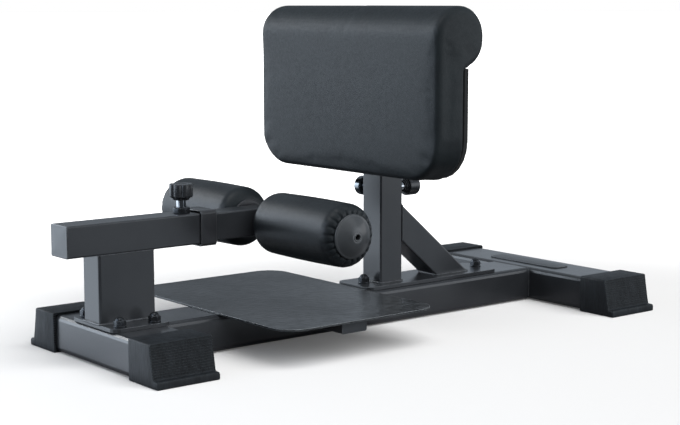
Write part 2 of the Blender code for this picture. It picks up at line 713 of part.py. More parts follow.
def fluted_knob(name, radius, flute, lobes, low, high):
    """A moulded knob with rounded lobes, narrower at its foot and domed on top."""
    height = high - low
    count = lobes * 5
    turn = np.linspace(0.0, 2 * math.pi, count, endpoint=False)
    wave = 0.5 - 0.5 * np.cos(lobes * turn)
    shape = ((0.00, 0.72, 0.3), (0.10, 0.80, 0.6), (0.22, 0.97, 1.0), (0.30, 1.00, 1.0), (0.78, 1.00, 1.0),
             (0.92, 0.93, 0.7), (1.00, 0.70, 0.0))
    rings = []
    for level, share, depth in shape:
        reach_out = radius * share - flute * depth * wave
        level_height = np.full(count, low + height * level)
        rows = np.column_stack((reach_out * np.cos(turn), reach_out * np.sin(turn), level_height))
        rings.append([tuple(row) for row in rows])
    return lofted(name, rings)


def bore_knob(knob, low):
    """Room in a lock pin's knob for the top of the body and the end of the rod."""
    pocket_top = PIN_BODY_TOP + GAP
    pocket = rod(knob.name + "_pocket", PIN_BODY_RADIUS + 2 * GAP, 0.0, pocket_top, collection=CUTTERS)
    blind_top = pocket_top + KNOB_ROD_DEPTH
    blind = rod(knob.name + "_blind", ROD_RADIUS + GAP, low, blind_top, SMALL_STEPS, CUTTERS)
    cut(knob, pocket, blind)


def make_top_pin():
    """The lock pin on top of the arm, which holds the sliding tube."""
    seat = empty("top_pin_seat", (TOP_PIN_X, 0.0, ARM_Z + ARM_SIZE / 2), BENCH)
    travel = empty("top_pin_axis", (TOP_PIN_X, 0.0, ARM_Z + ARM_SIZE / 2), BENCH)
    lock_pin_parts("top_pin", seat, travel, ARM_WALL + SLIDE_CLEARANCE + SLIDE_WALL)
    knob = fluted_knob("top_pin_knob", TOP_KNOB_RADIUS, TOP_KNOB_FLUTE, TOP_KNOB_LOBES,
                       TOP_KNOB_START, TOP_KNOB_START + TOP_KNOB_HEIGHT)
    put(knob, BLACK_PLASTIC, travel)
    bore_knob(knob, TOP_KNOB_START)


def rounded_end(radius, height, edge):
    """A quarter round between a turned piece's side and its end at a height.

    It starts on the side.  The edge is negative at an upper end.
    """
    points = []
    for step in range(4):
        angle = math.pi / 2 * step / 3
        inward = abs(edge) * (1.0 - math.cos(angle))
        points.append((radius - inward, height + edge * (1.0 - math.sin(angle))))
    return points


def make_rear_pin():
    """The lock pin behind the upright, which holds the pad's post."""
    place = (UPRIGHT_SIZE, 0.0, REAR_PIN_Z)
    seat = empty("rear_pin_seat", place, BENCH, along((1.0, 0.0, 0.0)))
    travel = empty("rear_pin_axis", place, BENCH, along((1.0, 0.0, 0.0)))
    lock_pin_parts("rear_pin", seat, travel, UPRIGHT_WALL + SLIDE_CLEARANCE + PAD_POST_WALL)
    # three rings that grow towards the grip, then a plain grip with a rounded end
    low = REAR_KNOB_START
    high = low + REAR_KNOB_LENGTH
    step_up = REAR_KNOB_NECK / 3
    profile = [(0.0, low)]
    for step, share in enumerate((0.58, 0.68, 0.80)):
        neck = REAR_KNOB_RADIUS * share
        profile += [(neck, low + step_up * step), (neck, low + step_up * (step + 1))]
    profile += rounded_end(REAR_KNOB_RADIUS, low + REAR_KNOB_NECK, REAR_KNOB_FOOT_EDGE)[::-1]
    profile += rounded_end(REAR_KNOB_RADIUS, high, -REAR_KNOB_END_EDGE)
    profile.append((0.0, high))
    knob = turned("rear_pin_knob", profile[::-1])
    put(knob, BLACK_PLASTIC, travel)
    bore_knob(knob, low)


def make_clamp():
    """The clamp screw on the right side of the upright, which takes the play out of the pad's post."""
    place = (UPRIGHT_X, UPRIGHT_SIZE / 2, REAR_PIN_Z)
    seat = empty("clamp_seat", place, BENCH, along((0.0, 1.0, 0.0)))
    advance = empty("clamp_axis", place, BENCH, along((0.0, 1.0, 0.0)))
    nut = ring("clamp_weld_nut", CLAMP_NUT_RADIUS, CLAMP_RADIUS + GAP, GAP, CLAMP_NUT_HEIGHT)
    put(nut, BLACK_STEEL, seat)
    tip = -UPRIGHT_WALL - SLIDE_CLEARANCE + GAP
    end = CLAMP_KNOB_START + (CLAMP_KNOB_END - CLAMP_KNOB_START) * 0.6
    screw = rod("clamp_screw", CLAMP_RADIUS, tip, end, 16)
    put(screw, ZINC_STEEL, advance)
    profile = [(0.0, CLAMP_HUB_START), (CLAMP_HUB_RADIUS, CLAMP_HUB_START),
               (CLAMP_HUB_RADIUS, CLAMP_KNOB_START)]
    profile += rounded_end(CLAMP_KNOB_RADIUS, CLAMP_KNOB_START, CLAMP_KNOB_EDGE)[::-1]
    profile += rounded_end(CLAMP_KNOB_RADIUS, CLAMP_KNOB_END, -CLAMP_KNOB_EDGE)
    profile.append((0.0, CLAMP_KNOB_END))
    knob = turned("clamp_knob", profile[::-1])
    put(knob, CHROME, advance)
    cut(knob, rod("clamp_knob_bore", CLAMP_RADIUS + GAP, 0.0, end + GAP, 16, CUTTERS))


def make_slide():
    """The tube that slides in the arm, with its lock holes, its end plug and the rollers' axle."""
    carriage = empty("roller_slide_axis", (AXLE_X, 0.0, ARM_Z), BENCH)
    rear = SLIDE_END_X - PLUG_FLANGE - GAP
    length = rear - SLIDE_FRONT_X
    tube = square_tube("slide_tube", SLIDE_SIZE, SLIDE_SIZE, SLIDE_WALL, SLIDE_CORNER, length)
    middle = (rear + SLIDE_FRONT_X) / 2
    put(tube, POWDER_COAT, carriage, (middle - AXLE_X, 0.0, 0.0), LENGTH_ALONG_X)
    half = SLIDE_SIZE / 2
    spots = [(0.0, 0.0, TOP_PIN_X + LOCK_PITCH * (1 - step) - middle) for step in range(LOCK_HOLES)]
    holes = drill("slide_lock_holes", PIN_HOLE, half - 2 * SLIDE_WALL, half + SLIDE_WALL, spots, TOP_FACE)
    across = Matrix.Rotation(math.pi / 2, 4, "Y")
    spot = [(0.0, 0.0, AXLE_X - middle)]
    bore = AXLE_RADIUS + GAP
    axle_hole = drill("slide_axle_hole", bore, -SLIDE_SIZE, SLIDE_SIZE, spot, across, ROUND_STEPS)
    cut(tube, holes, axle_hole)
    plug = tube_plug("slide_end_plug", SLIDE_SIZE, SLIDE_WALL, SLIDE_CORNER)
    put(plug, BLACK_PLASTIC, carriage, (SLIDE_END_X - AXLE_X, 0.0, 0.0), along((1.0, 0.0, 0.0)))

    crosswise = along((0.0, 1.0, 0.0))
    half_axle = AXLE_LENGTH / 2
    bore = AXLE_SCREW_RADIUS + GAP
    deep = half_axle - AXLE_SCREW_LENGTH - GAP
    profile = [(0.0, deep), (bore, deep), (bore, half_axle), (AXLE_RADIUS, half_axle),
               (AXLE_RADIUS, -half_axle), (bore, -half_axle), (bore, -deep), (0.0, -deep)]
    axle = turned("roller_axle", profile)
    put(axle, ZINC_STEEL, carriage, turn=crosswise)

    inner = SLIDE_SIZE / 2 + GAP
    outer = ROLLER_START - GAP - ROLLER_FLANGE - GAP
    washer_low = half_axle + GAP
    head_low = washer_low + AXLE_WASHER
    head_high = head_low + AXLE_SCREW_HEAD
    screw_end = half_axle - AXLE_SCREW_LENGTH
    # the washer is part of the screw's solid
    shoulder = head_high - AXLE_SCREW_HEAD * 0.3
    profile = [(0.0, head_high), (AXLE_SCREW_HEAD_RADIUS * 0.8, head_high),
               (AXLE_SCREW_HEAD_RADIUS, shoulder), (AXLE_SCREW_HEAD_RADIUS, head_low),
               (AXLE_WASHER_RADIUS, head_low), (AXLE_WASHER_RADIUS, washer_low),
               (AXLE_SCREW_RADIUS, washer_low), (AXLE_SCREW_RADIUS, screw_end), (0.0, screw_end)]
    for name, side in (("left", -1.0), ("right", 1.0)):
        outward = along((0.0, side, 0.0))
        spacer = ring(name + "_axle_spacer", SPACER_RADIUS, AXLE_RADIUS + GAP, inner, outer, SMALL_STEPS)
        put(spacer, BLACK_STEEL, carriage, turn=outward)
        put(turned(name + "_axle_screw", profile, SMALL_STEPS), BLACK_STEEL, carriage, turn=outward)
    return carriage


def roller_profile(start, end, radius, bore):
    """Half section of a roller's cushion: rounded ends, a little crown and a bore, as a closed ring."""
    steps = 4
    points = []
    for step in range(steps + 1):
        angle = math.pi / 2 * step / steps
        points.append((radius - ROLLER_EDGE + ROLLER_EDGE * math.sin(angle),
                       end - ROLLER_EDGE + ROLLER_EDGE * math.cos(angle)))
    middle = (start + end) / 2
    points.append((radius + ROLLER_CROWN, middle))
    for step in range(steps + 1):
        angle = math.pi / 2 * step / steps
        points.append((radius - ROLLER_EDGE + ROLLER_EDGE * math.cos(angle),
                       start + ROLLER_EDGE - ROLLER_EDGE * math.sin(angle)))
    return points + [(bore, start), (bore, end)]


def make_roller(side_name, side, carriage):
    """One foot roller: a padded cushion on a plastic core, an inner flange and a domed outer cap."""
    axis = empty(side_name + "_roller_axis", (AXLE_X, 0.0, ARM_Z), carriage, along((0.0, side, 0.0)))
    start = ROLLER_START
    end = ROLLER_START + ROLLER_LENGTH
    core_bore = AXLE_RADIUS + GAP
    core_outer = core_bore + ROLLER_CORE_WALL
    core_end = AXLE_LENGTH / 2 - GAP
    core = ring(side_name + "_roller_core", core_outer, core_bore, start - GAP, core_end)
    put(core, BLACK_PLASTIC, axis)
    flange_high = start - GAP
    flange_low = flange_high - ROLLER_FLANGE
    # the core ends in a shallow seat in the flange
    seat = flange_high - GAP
    seat_radius = core_outer + GAP
    profile = [(ROLLER_FLANGE_RADIUS, flange_high), (ROLLER_FLANGE_RADIUS, flange_low),
               (core_bore, flange_low), (core_bore, seat), (seat_radius, seat), (seat_radius, flange_high)]
    flange = turned(side_name + "_roller_inner_flange", profile, closed=True)
    put(flange, BLACK_PLASTIC, axis)
    section = roller_profile(start, end, ROLLER_RADIUS, core_outer + GAP)
    cushion = turned(side_name + "_roller_cushion", section, WIDE_STEPS, closed=True)
    put(cushion, VINYL, axis)

    # the outer cap is a thin dome on the cushion's end, with a ring inside it that sits on the core
    low = end + GAP
    top = low + ROLLER_CAP_DOME
    steps = 4
    outer, inner = [], []
    for step in range(steps + 1):
        share = step / steps
        radius = ROLLER_CAP_HOLE + (ROLLER_CAP_RADIUS - ROLLER_CAP_HOLE) * share
        height = top - ROLLER_CAP_DOME * (radius / ROLLER_CAP_RADIUS) ** 2
        outer.append((radius, max(height, low + ROLLER_CAP_WALL * 0.6) if step == steps else height))
    for radius, height in outer[:-1][::-1]:
        inner.append((radius, max(height - ROLLER_CAP_WALL, low)))
    profile = outer + [(ROLLER_CAP_RADIUS, low), (outer[-2][0], low)] + inner[1:]
    cap = turned(side_name + "_roller_outer_cap", profile, WIDE_STEPS, closed=True)
    put(cap, BLACK_PLASTIC, axis)


def make_footplate():
    """The thin steel plate for the feet and the two short box bars under it, welded to the beam."""
    outline = rounded_rectangle(FOOTPLATE_LENGTH, FOOTPLATE_WIDTH, FOOTPLATE_CORNER, 6)
    plate = extruded("footplate", [outline], FOOTPLATE_THICKNESS)
    put(plate, GRIP_COAT, BENCH, (FOOTPLATE_X, 0.0, SEAT_Z + FOOTPLATE_THICKNESS / 2))
    inner = BEAM_WIDTH / 2 + GAP
    outer = FOOTPLATE_WIDTH / 2 - OUTRIGGER_INSET
    x = FOOTPLATE_X - FOOTPLATE_LENGTH / 2 + OUTRIGGER_FRONT + OUTRIGGER_LENGTH / 2
    z = BEAM_TOP - OUTRIGGER_HEIGHT / 2
    for name, side in (("left_outrigger", -1), ("right_outrigger", 1)):
        shape = rounded_rectangle(OUTRIGGER_LENGTH, OUTRIGGER_HEIGHT, OUTRIGGER_CORNER)
        bar = extruded(name, [shape], outer - inner)
        room_x = OUTRIGGER_LENGTH / 2 - OUTRIGGER_WALL
        room_z = OUTRIGGER_HEIGHT / 2 - OUTRIGGER_WALL
        half = (outer - inner) / 2
        # local Z points to -Y, so the closed end is at +Z on the left and at -Z on the right
        shift = side * OUTRIGGER_WALL
        hollow = block(name + "_hollow", (-room_x, -room_z, shift - half),
                       (room_x, room_z, shift + half), CUTTERS)
        cut(bar, hollow)
        put(bar, POWDER_COAT, BENCH, (x, side * (inner + outer) / 2, z), LENGTH_ALONG_Y)


def make_upright():
    """The upright tube, the plate that it is welded to, and the slanted brace behind it."""
    plate_top = SEAT_Z + UPRIGHT_PLATE_THICKNESS
    outline = rounded_rectangle(UPRIGHT_PLATE_LENGTH, UPRIGHT_PLATE_WIDTH, UPRIGHT_PLATE_CORNER)
    plate_x = PLATE_REAR_X - UPRIGHT_PLATE_LENGTH / 2
    holes = [circle(BOLT_HOLE, (x - plate_x, 0.0)) for x in UPRIGHT_BOLTS]
    plate = extruded("upright_plate", [outline] + holes, UPRIGHT_PLATE_THICKNESS)
    put(plate, POWDER_COAT, BENCH, (plate_x, 0.0, SEAT_Z + UPRIGHT_PLATE_THICKNESS / 2))
    for end, x in zip(("front", "rear"), UPRIGHT_BOLTS):
        make_bolt(f"upright_bolt_{end}", x, 0.0, UPRIGHT_PLATE_THICKNESS)

    low = plate_top + GAP
    height = UPRIGHT_TOP - low
    upright = square_tube("upright", UPRIGHT_SIZE, UPRIGHT_SIZE, UPRIGHT_WALL, UPRIGHT_CORNER, height)
    middle = (low + UPRIGHT_TOP) / 2
    put(upright, POWDER_COAT, BENCH, (UPRIGHT_X, 0.0, middle))
    half = UPRIGHT_SIZE / 2
    spot = [(0.0, 0.0, REAR_PIN_Z - middle)]
    reach_in = half - 2 * UPRIGHT_WALL
    reach_out = half + UPRIGHT_WALL
    rearward = along((1.0, 0.0, 0.0))
    rightward = along((0.0, 1.0, 0.0))
    pin_hole = drill("upright_pin_hole", PIN_HOLE, reach_in, reach_out, spot, rearward)
    clamp_hole = drill("upright_clamp_hole", CLAMP_RADIUS + GAP, reach_in, reach_out, spot, rightward)
    cut(upright, pin_hole, clamp_hole)

    # the brace is a straight tube, mitred by the upright's rear face and by the plate
    face = UPRIGHT_SIZE + GAP
    direction = Vector((math.cos(BRACE_ANGLE), 0.0, -math.sin(BRACE_ANGLE)))
    upward = Vector((math.sin(BRACE_ANGLE), 0.0, math.cos(BRACE_ANGLE)))
    run = (BRACE_TOP - plate_top) / math.sin(BRACE_ANGLE)
    length = run + 4 * BRACE_SIZE
    brace = square_tube("upright_brace", BRACE_SIZE, BRACE_SIZE, BRACE_WALL, BRACE_CORNER, length)
    top_edge = Vector((UPRIGHT_SIZE, 0.0, BRACE_TOP))
    centre = top_edge + direction * (run / 2) - upward * (BRACE_SIZE / 2)
    turn = Matrix((upward, upward.cross(direction) * -1.0, direction)).transposed().to_4x4()
    put(brace, POWDER_COAT, BENCH, centre, turn)
    back = brace.matrix_basis.inverted()
    far = 1.0
    in_front = block("brace_front_trim", (face - far, -far, -far), (face, far, far), CUTTERS)
    under = block("brace_bottom_trim", (-far, -far, low - far), (far, far, low), CUTTERS)
    for trim in (in_front, under):
        trim.data.transform(back)
    cut(brace, in_front, under)


def make_badge_plate():
    """The thin bare plate glued on top of the rear crossbar."""
    outline = rounded_rectangle(BADGE_WIDTH, BADGE_LENGTH, BADGE_CORNER, 5)
    badge = extruded("rear_badge_plate", [outline], BADGE_THICKNESS)
    put(badge, BLACK_STEEL, BENCH, (REAR_BAR_X, 0.0, SEAT_Z + BADGE_THICKNESS / 2))


def pad_section(inset, bottom, edge):
    """Side outline of the cushion in X and Z, drawn in by an inset: flat front, roll at the top rear."""
    front = PAD_FRONT_X + inset
    back = PAD_BACK_X - BOARD_THICKNESS - GAP - inset * 0.4
    low = bottom
    points = []
    # front lower edge, from the underside to the front face
    for step in range(4):
        angle = math.pi / 2 * step / 3
        points.append((front + edge - edge * math.sin(angle), low + edge - edge * math.cos(angle)))
    rise = ROLL_Z - (low + edge)
    points += [(front, low + edge + rise * share) for share in (0.25, 0.50, 0.75)]
    # front quarter of the roll
    depth = ROLL_X - front
    radius = PAD_ROLL_RADIUS - inset
    for step in range(7):
        angle = math.pi / 2 * step / 6
        points.append((ROLL_X - depth * math.cos(angle), ROLL_Z + radius * math.sin(angle)))
    # over the top and down behind, to where the roll meets the board's plane
    meet = -math.acos(min(1.0, (PAD_BACK_X - ROLL_X) / radius))
    for step in range(1, 12):
        angle = math.pi / 2 + (meet - math.pi / 2) * step / 11
        points.append((ROLL_X + radius * math.cos(angle), ROLL_Z + radius * math.sin(angle)))
    under = points[-1][1]
    points += [(PAD_BACK_X - BOARD_THICKNESS / 2, under), (back, under)]
    corner = low + PAD_BACK_EDGE
    points += [(back, corner + (under - corner) * share) for share in (0.66, 0.33)]
    points += [(back, corner), (back - PAD_BACK_EDGE, low)]
    return points


def make_pad():
    """The calf pad: its sliding post, two angle brackets, a board and the cushion."""
    carriage = empty("pad_slide_axis", (UPRIGHT_X, 0.0, UPRIGHT_TOP), BENCH)
    size = PAD_POST_SIZE
    top = UPRIGHT_TOP + PAD_POST_ABOVE
    low = UPRIGHT_TOP - PAD_POST_BELOW
    high = top - PLUG_FLANGE - GAP
    post = square_tube("pad_post", size, size, PAD_POST_WALL, PAD_POST_CORNER, high - low)
    middle = (low + high) / 2
    put(post, POWDER_COAT, carriage, (0.0, 0.0, middle - UPRIGHT_TOP))
    spots = [(0.0, 0.0, REAR_PIN_Z - LOCK_PITCH * step - middle) for step in range(LOCK_HOLES)]
    reach_in = size / 2 - 2 * PAD_POST_WALL
    reach_out = size / 2 + PAD_POST_WALL
    rearward = along((1.0, 0.0, 0.0))
    cut(post, drill("pad_post_lock_holes", PIN_HOLE, reach_in, reach_out, spots, rearward))
    plug = tube_plug("pad_post_plug", size, PAD_POST_WALL, PAD_POST_CORNER)
    put(plug, BLACK_PLASTIC, carriage, (0.0, 0.0, top - UPRIGHT_TOP))

    # each bracket is an angle: one leg on the side of the post, one flange behind the board
    bracket_low = UPRIGHT_TOP + BRACKET_ABOVE
    bracket_middle = bracket_low + BRACKET_HEIGHT / 2
    flange_front = PAD_BACK_X + GAP
    flange_back = flange_front + BRACKET_THICKNESS
    inner = size / 2 + GAP
    screw_y = inner + BRACKET_FLANGE - PAD_SCREW_MARGIN
    screw_z = [bracket_low + PAD_SCREW_MARGIN, bracket_low + BRACKET_HEIGHT - PAD_SCREW_MARGIN]
    screw_hole = PAD_SCREW_RADIUS + HOLE_CLEARANCE
    forward = along((-1.0, 0.0, 0.0))
    screw_spots = []
    for name, side in (("left_pad_bracket", -1), ("right_pad_bracket", 1)):
        leg_back = flange_front + BRACKET_LEG
        leg_outer = inner + BRACKET_THICKNESS
        flange_end = inner + BRACKET_FLANGE
        angle = [(flange_front, inner), (flange_front, flange_end), (flange_back, flange_end),
                 (flange_back, leg_outer), (leg_back, leg_outer), (leg_back, inner)]
        outline = [(x - UPRIGHT_X, side * y) for x, y in angle]
        bracket = extruded(name, [outline], BRACKET_HEIGHT)
        put(bracket, POWDER_COAT, carriage, (0.0, 0.0, bracket_middle - UPRIGHT_TOP))
        holes = [(flange_front - UPRIGHT_X, side * screw_y, z - bracket_middle) for z in screw_z]
        cut(bracket, drill(name + "_holes", screw_hole, -0.010, 0.010, holes, forward))
        screw_spots += [(side * screw_y, z) for z in screw_z]

    # board behind the cushion, under the roll
    radius = PAD_ROLL_RADIUS
    notch_z = ROLL_Z - math.sqrt(radius ** 2 - (PAD_BACK_X - ROLL_X) ** 2)
    board_top = notch_z - BOARD_TOP_GAP
    board_low = PAD_BOTTOM + BOARD_INSET
    half = PAD_HALF_WIDTH - BOARD_INSET
    corner = PAD_CORNER - BOARD_INSET
    outline = [(-half, board_top), (half, board_top)][::-1]
    for side in (-1, 1):
        for step in range(7):
            turn = math.pi / 2 * (step / 6 if side < 0 else 1 - step / 6)
            outline.append((side * (half - corner + corner * math.cos(turn)),
                            board_low + corner - corner * math.sin(turn)))
    board_holes = [circle(screw_hole, spot) for spot in screw_spots]
    board = extruded("pad_board", [outline] + board_holes, BOARD_THICKNESS)
    board_x = PAD_BACK_X - BOARD_THICKNESS / 2
    put(board, BOARD, carriage, (board_x - UPRIGHT_X, 0.0, -UPRIGHT_TOP), LENGTH_ALONG_X)

    # the cushion is a loft of side outlines, drawn in at both ends and lifted at the lower corners
    stations = []
    for share in (0.0, 0.25, 0.6, 1.0):
        ease = 1.0 - math.sqrt(max(0.0, 1.0 - (1.0 - share) ** 2))
        stations.append((PAD_HALF_WIDTH - PAD_EDGE * share, PAD_EDGE * ease))
    for share in (0.25, 0.45, 0.65, 0.85):
        stations.append((PAD_HALF_WIDTH - PAD_EDGE - (PAD_CORNER - PAD_EDGE) * share, 0.0))
    stations.append((PAD_HALF_WIDTH * 0.55, 0.0))
    stations.append((PAD_HALF_WIDTH * 0.22, 0.0))
    rings = []
    for side, order in ((-1, stations), (1, stations[::-1])):
        for y, inset in order:
            past = max(0.0, y - (PAD_HALF_WIDTH - PAD_CORNER))
            corner_lift = PAD_CORNER - math.sqrt(max(0.0, PAD_CORNER ** 2 - past ** 2))
            lift = min(corner_lift, PAD_CORNER - PAD_EDGE) + inset
            section = pad_section(inset, PAD_BOTTOM + lift, PAD_EDGE)
            bulge = PAD_CROWN * (1.0 - (y / PAD_HALF_WIDTH) ** 4)
            ring_points = []
            for x, z in section:
                height = min(max((z - PAD_BOTTOM) / (ROLL_Z - PAD_BOTTOM), 0.0), 1.0)
                swell = bulge * math.sin(math.pi * height) if x < ROLL_X - PAD_EDGE else 0.0
                ring_points.append((x - swell - UPRIGHT_X, side * y, z - UPRIGHT_TOP))
            rings.append(ring_points)
    cushion = lofted("pad_cushion", rings)
    put(cushion, VINYL, carriage)


make_base()
make_foot("front_left_foot", FRONT_BAR_X, FRONT_BAR_LENGTH, -1)
make_foot("front_right_foot", FRONT_BAR_X, FRONT_BAR_LENGTH, 1)
make_foot("rear_left_foot", REAR_BAR_X, REAR_BAR_LENGTH, -1)
make_foot("rear_right_foot", REAR_BAR_X, REAR_BAR_LENGTH, 1)
make_post()
make_arm()
make_top_pin()
roller_carriage = make_slide()
make_roller("left", -1, roller_carriage)
make_roller("right", 1, roller_carriage)
make_footplate()
make_upright()
make_badge_plate()
make_rear_pin()
make_clamp()
make_pad()
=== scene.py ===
"""The sissy squat bench as it looks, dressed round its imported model.

The sections follow the bench as it is put together: studio, welded frame, weld beads, rubber feet,
plate bolts, footplate, bare plate, plugs and collar, lock pins and clamp, foot rollers, calf pad.
Everything is in metres.  +X points to the long rear crossbar, +Y to the right and +Z up.
"""
import math

import bpy
import numpy as np
from mathutils import Euler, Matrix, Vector


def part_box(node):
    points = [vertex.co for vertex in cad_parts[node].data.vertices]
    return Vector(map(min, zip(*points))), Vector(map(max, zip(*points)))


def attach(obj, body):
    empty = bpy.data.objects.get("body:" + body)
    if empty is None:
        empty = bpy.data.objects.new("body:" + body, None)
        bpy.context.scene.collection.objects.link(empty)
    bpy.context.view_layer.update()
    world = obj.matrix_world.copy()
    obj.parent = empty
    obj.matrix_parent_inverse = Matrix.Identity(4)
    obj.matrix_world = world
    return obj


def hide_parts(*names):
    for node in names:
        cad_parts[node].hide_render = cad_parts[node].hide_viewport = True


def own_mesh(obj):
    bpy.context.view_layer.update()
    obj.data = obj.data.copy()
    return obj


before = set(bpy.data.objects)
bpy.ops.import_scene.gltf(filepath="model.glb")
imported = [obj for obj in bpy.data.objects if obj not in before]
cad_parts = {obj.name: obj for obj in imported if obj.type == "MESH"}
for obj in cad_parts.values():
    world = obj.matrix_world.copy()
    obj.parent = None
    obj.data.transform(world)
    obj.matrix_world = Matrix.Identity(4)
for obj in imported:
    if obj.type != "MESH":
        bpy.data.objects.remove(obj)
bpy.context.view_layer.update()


# Studio: the bench stands on white photo paper that runs on without an end, under one wide even
# ceiling light.  Soft boxes at the left and right and a thin strip at the back draw its edges.
scene = bpy.context.scene
scene.view_settings.view_transform = "Standard"
WHITE = (1, 1, 1, 1)


def linear(code):
    """An sRGB hex colour as linear red, green, blue and alpha."""
    share = np.array([int(code[at:at + 2], 16) for at in (1, 3, 5)]) / 255
    return (*np.where(share <= 0.04045, share / 12.92, ((share + 0.055) / 1.055) ** 2.4), 1.0)


def wire(node, inputs):
    """Set or link inputs of a node, given by name or in their order."""
    for name, value in inputs.items() if isinstance(inputs, dict) else enumerate(inputs):
        if isinstance(value, bpy.types.NodeSocket):
            node.id_data.links.new(value, node.inputs[name])
        else:
            node.inputs[name].default_value = value


def add(tree, kind, inputs=(), out=0, **settings):
    """Add one shader node with its settings and inputs, and hand over one of its outputs."""
    made = tree.nodes.new("ShaderNode" + kind)
    for name, value in settings.items():
        setattr(made, name, value)
    wire(made, inputs)
    return made.outputs[out] if made.outputs else None


def new_material(name, values):
    """A material, its node tree and its Principled shader, whose sockets have these values."""
    made = bpy.data.materials.new(name)
    made.use_nodes = True
    shader = made.node_tree.nodes["Principled BSDF"]
    wire(shader, values)
    return made, made.node_tree, shader


world = bpy.data.worlds.new("white_studio")
world.use_nodes = True
scene.world = world
room = world.node_tree
room.nodes.clear()
# The coats mirror a room that is dim on the camera's side and paler above and behind the bench
toward = add(room, "TexCoord", out="Generated")
upward = add(room, "VectorMath", (toward, (0.50, 0.46, 0.73)), "Value", operation="DOT_PRODUCT")
glow = add(room, "MapRange", (upward, -0.3, 0.8, 0.04, 0.30))
steep = add(room, "VectorMath", (toward, (1.0, 1.0, 1.5)), operation="MULTIPLY")
steep = add(room, "VectorMath", (steep,), operation="NORMALIZE")
# It has a window low at the back on the left with a brighter pane in it, a pale wall across from
# the window, and the far wall.  Each has its direction, the cosines from it at which it begins and
# is whole, and its strength.  The window is looked for with steeper directions, which make it low.
for look, lies, begins, whole, strength in (
        (steep, (-0.55, 0.82, 0.15), 0.68, 0.98, 2.1),
        (toward, (-0.52, 0.81, 0.27), 0.93, 0.985, 1.7),
        (toward, (0.61, -0.78, 0.12), 0.88, 0.97, 0.6),
        (toward, (0.80, 0.58, 0.17), 0.95, 0.99, 0.24)):
    near = add(room, "VectorMath", (look, lies), "Value", operation="DOT_PRODUCT")
    patch = add(room, "MapRange", (near, begins, whole, 0.0, strength),
                interpolation_type="SMOOTHSTEP")
    glow = add(room, "Math", (glow, patch), operation="ADD")
seen = add(room, "Background", (linear("#dde9f6"), glow))
# Matt surfaces take up only an even tenth, which keeps the floor even, and the camera sees white
for ray, strength in (("Is Diffuse Ray", 0.10), ("Is Camera Ray", 1.0)):
    even = add(room, "Background", (WHITE, strength))
    seen = add(room, "MixShader", (add(room, "LightPath", out=ray), seen, even))
add(room, "OutputWorld", (seen,))

# The ceiling is a sun seventy degrees wide, which the coats do not mirror
ceiling_light = bpy.data.lights.new("ceiling", "SUN")
ceiling_light.energy = 4.2
ceiling_light.angle = math.radians(70)
ceiling = bpy.data.objects.new("ceiling", ceiling_light)
ceiling.rotation_euler = Vector((-0.05, 0.9, -1.0)).to_track_quat("-Z", "Y").to_euler()
ceiling.visible_glossy = False
scene.collection.objects.link(ceiling)
BENCH_MIDDLE = Vector((0.0, 0.0, 0.25))
# Each box has its place, width, height, watts and colour.  The strip at the back only draws the
# thin bright lines along the edges.
for name, place, width, height, watts, colour in (
        ("glint_box", (-0.9, -0.4, 2.2), 0.7, 0.7, 5, "#ffffff"),
        ("back_strip", (-1.0, 2.9, 1.78), 2.2, 0.12, 10, "#ffffff"),
        ("left_box", (-2.5, 0.2, 1.0), 1.6, 1.8, 16, "#dcebff"),
        ("right_box", (1.9, -1.6, 0.55), 3.2, 1.0, 7, "#fbfbfd")):
    lamp = bpy.data.lights.new(name, "AREA")
    lamp.shape = "RECTANGLE"
    lamp.size, lamp.size_y = width, height
    lamp.energy = watts
    lamp.color = linear(colour)[:3]
    box = bpy.data.objects.new(name, lamp)
    scene.collection.objects.link(box)
    box.location = place
    box.rotation_euler = (BENCH_MIDDLE - Vector(place)).to_track_quat("-Z", "Y").to_euler()
    box.visible_camera = False
    box.visible_diffuse = name != "back_strip"


def sheet(name, west, east, reach, height, paper):
    """A flat sheet from west to east, as far as its reach to both sides, that lights nothing."""
    mesh = bpy.data.meshes.new(name)
    mesh.from_pydata([(west, -reach, height), (east, -reach, height), (east, reach, height),
                      (west, reach, height)], [], [(0, 1, 2, 3)])
    mesh.materials.append(paper)
    made = bpy.data.objects.new(name, mesh)
    scene.collection.objects.link(made)
    made.visible_diffuse = False
    return made


# Seamless photo paper: matt white, and bright enough that only the soft shadow shows on it
FLOOR_REACH = 80.0
paper, tree, shader = new_material("seamless_paper", {
    "Base Color": linear("#dadada"), "Roughness": 0.9, "Specular IOR Level": 0.0,
    "Emission Color": WHITE})
on_floor = add(tree, "TexCoord", out="Object")
apart = add(tree, "VectorMath", (on_floor, (0.10, -0.35, 0.0)), "Value", operation="DISTANCE")
wire(shader, {"Emission Strength": add(tree, "MapRange", (apart, 0.7, 1.9, 0.07, 1.0),
                                       interpolation_type="SMOOTHSTEP")})
sheet("paper_floor", -FLOOR_REACH, FLOOR_REACH, FLOOR_REACH, -0.0004, paper).visible_glossy = False
# The coats mirror sheets in place of the floor: a grey one below the bench is painted shade, where
# the bench's shade falls, and a pale blue one at the left is a painted reflection of lit floor
for name, west, east, reach, tone in (("dim_floor", -0.50, 0.52, 0.26, "#76777b"),
                                      ("left_floor", -0.64, -0.50, 0.30, "#e4edf8")):
    mirrored = sheet(name, west, east, reach, -0.0003, new_material(name + "_paper", {
        "Base Color": linear(tone), "Roughness": 1.0, "Specular IOR Level": 0.0})[0])
    mirrored.visible_camera = mirrored.visible_shadow = False

# The camera stands low at the front left, a little over two and a half metres off
lens = bpy.data.cameras.new("camera")
lens.lens = 80.23
lens.sensor_width = 36.0
lens.clip_end = 300.0
camera = bpy.data.objects.new("camera", lens)
camera.location = (-1.62615, -2.0350, 0.5567)
camera.rotation_euler = Euler((math.radians(90 - 7.815), 0.0, math.radians(-38.812)))
scene.collection.objects.link(camera)
scene.camera = camera
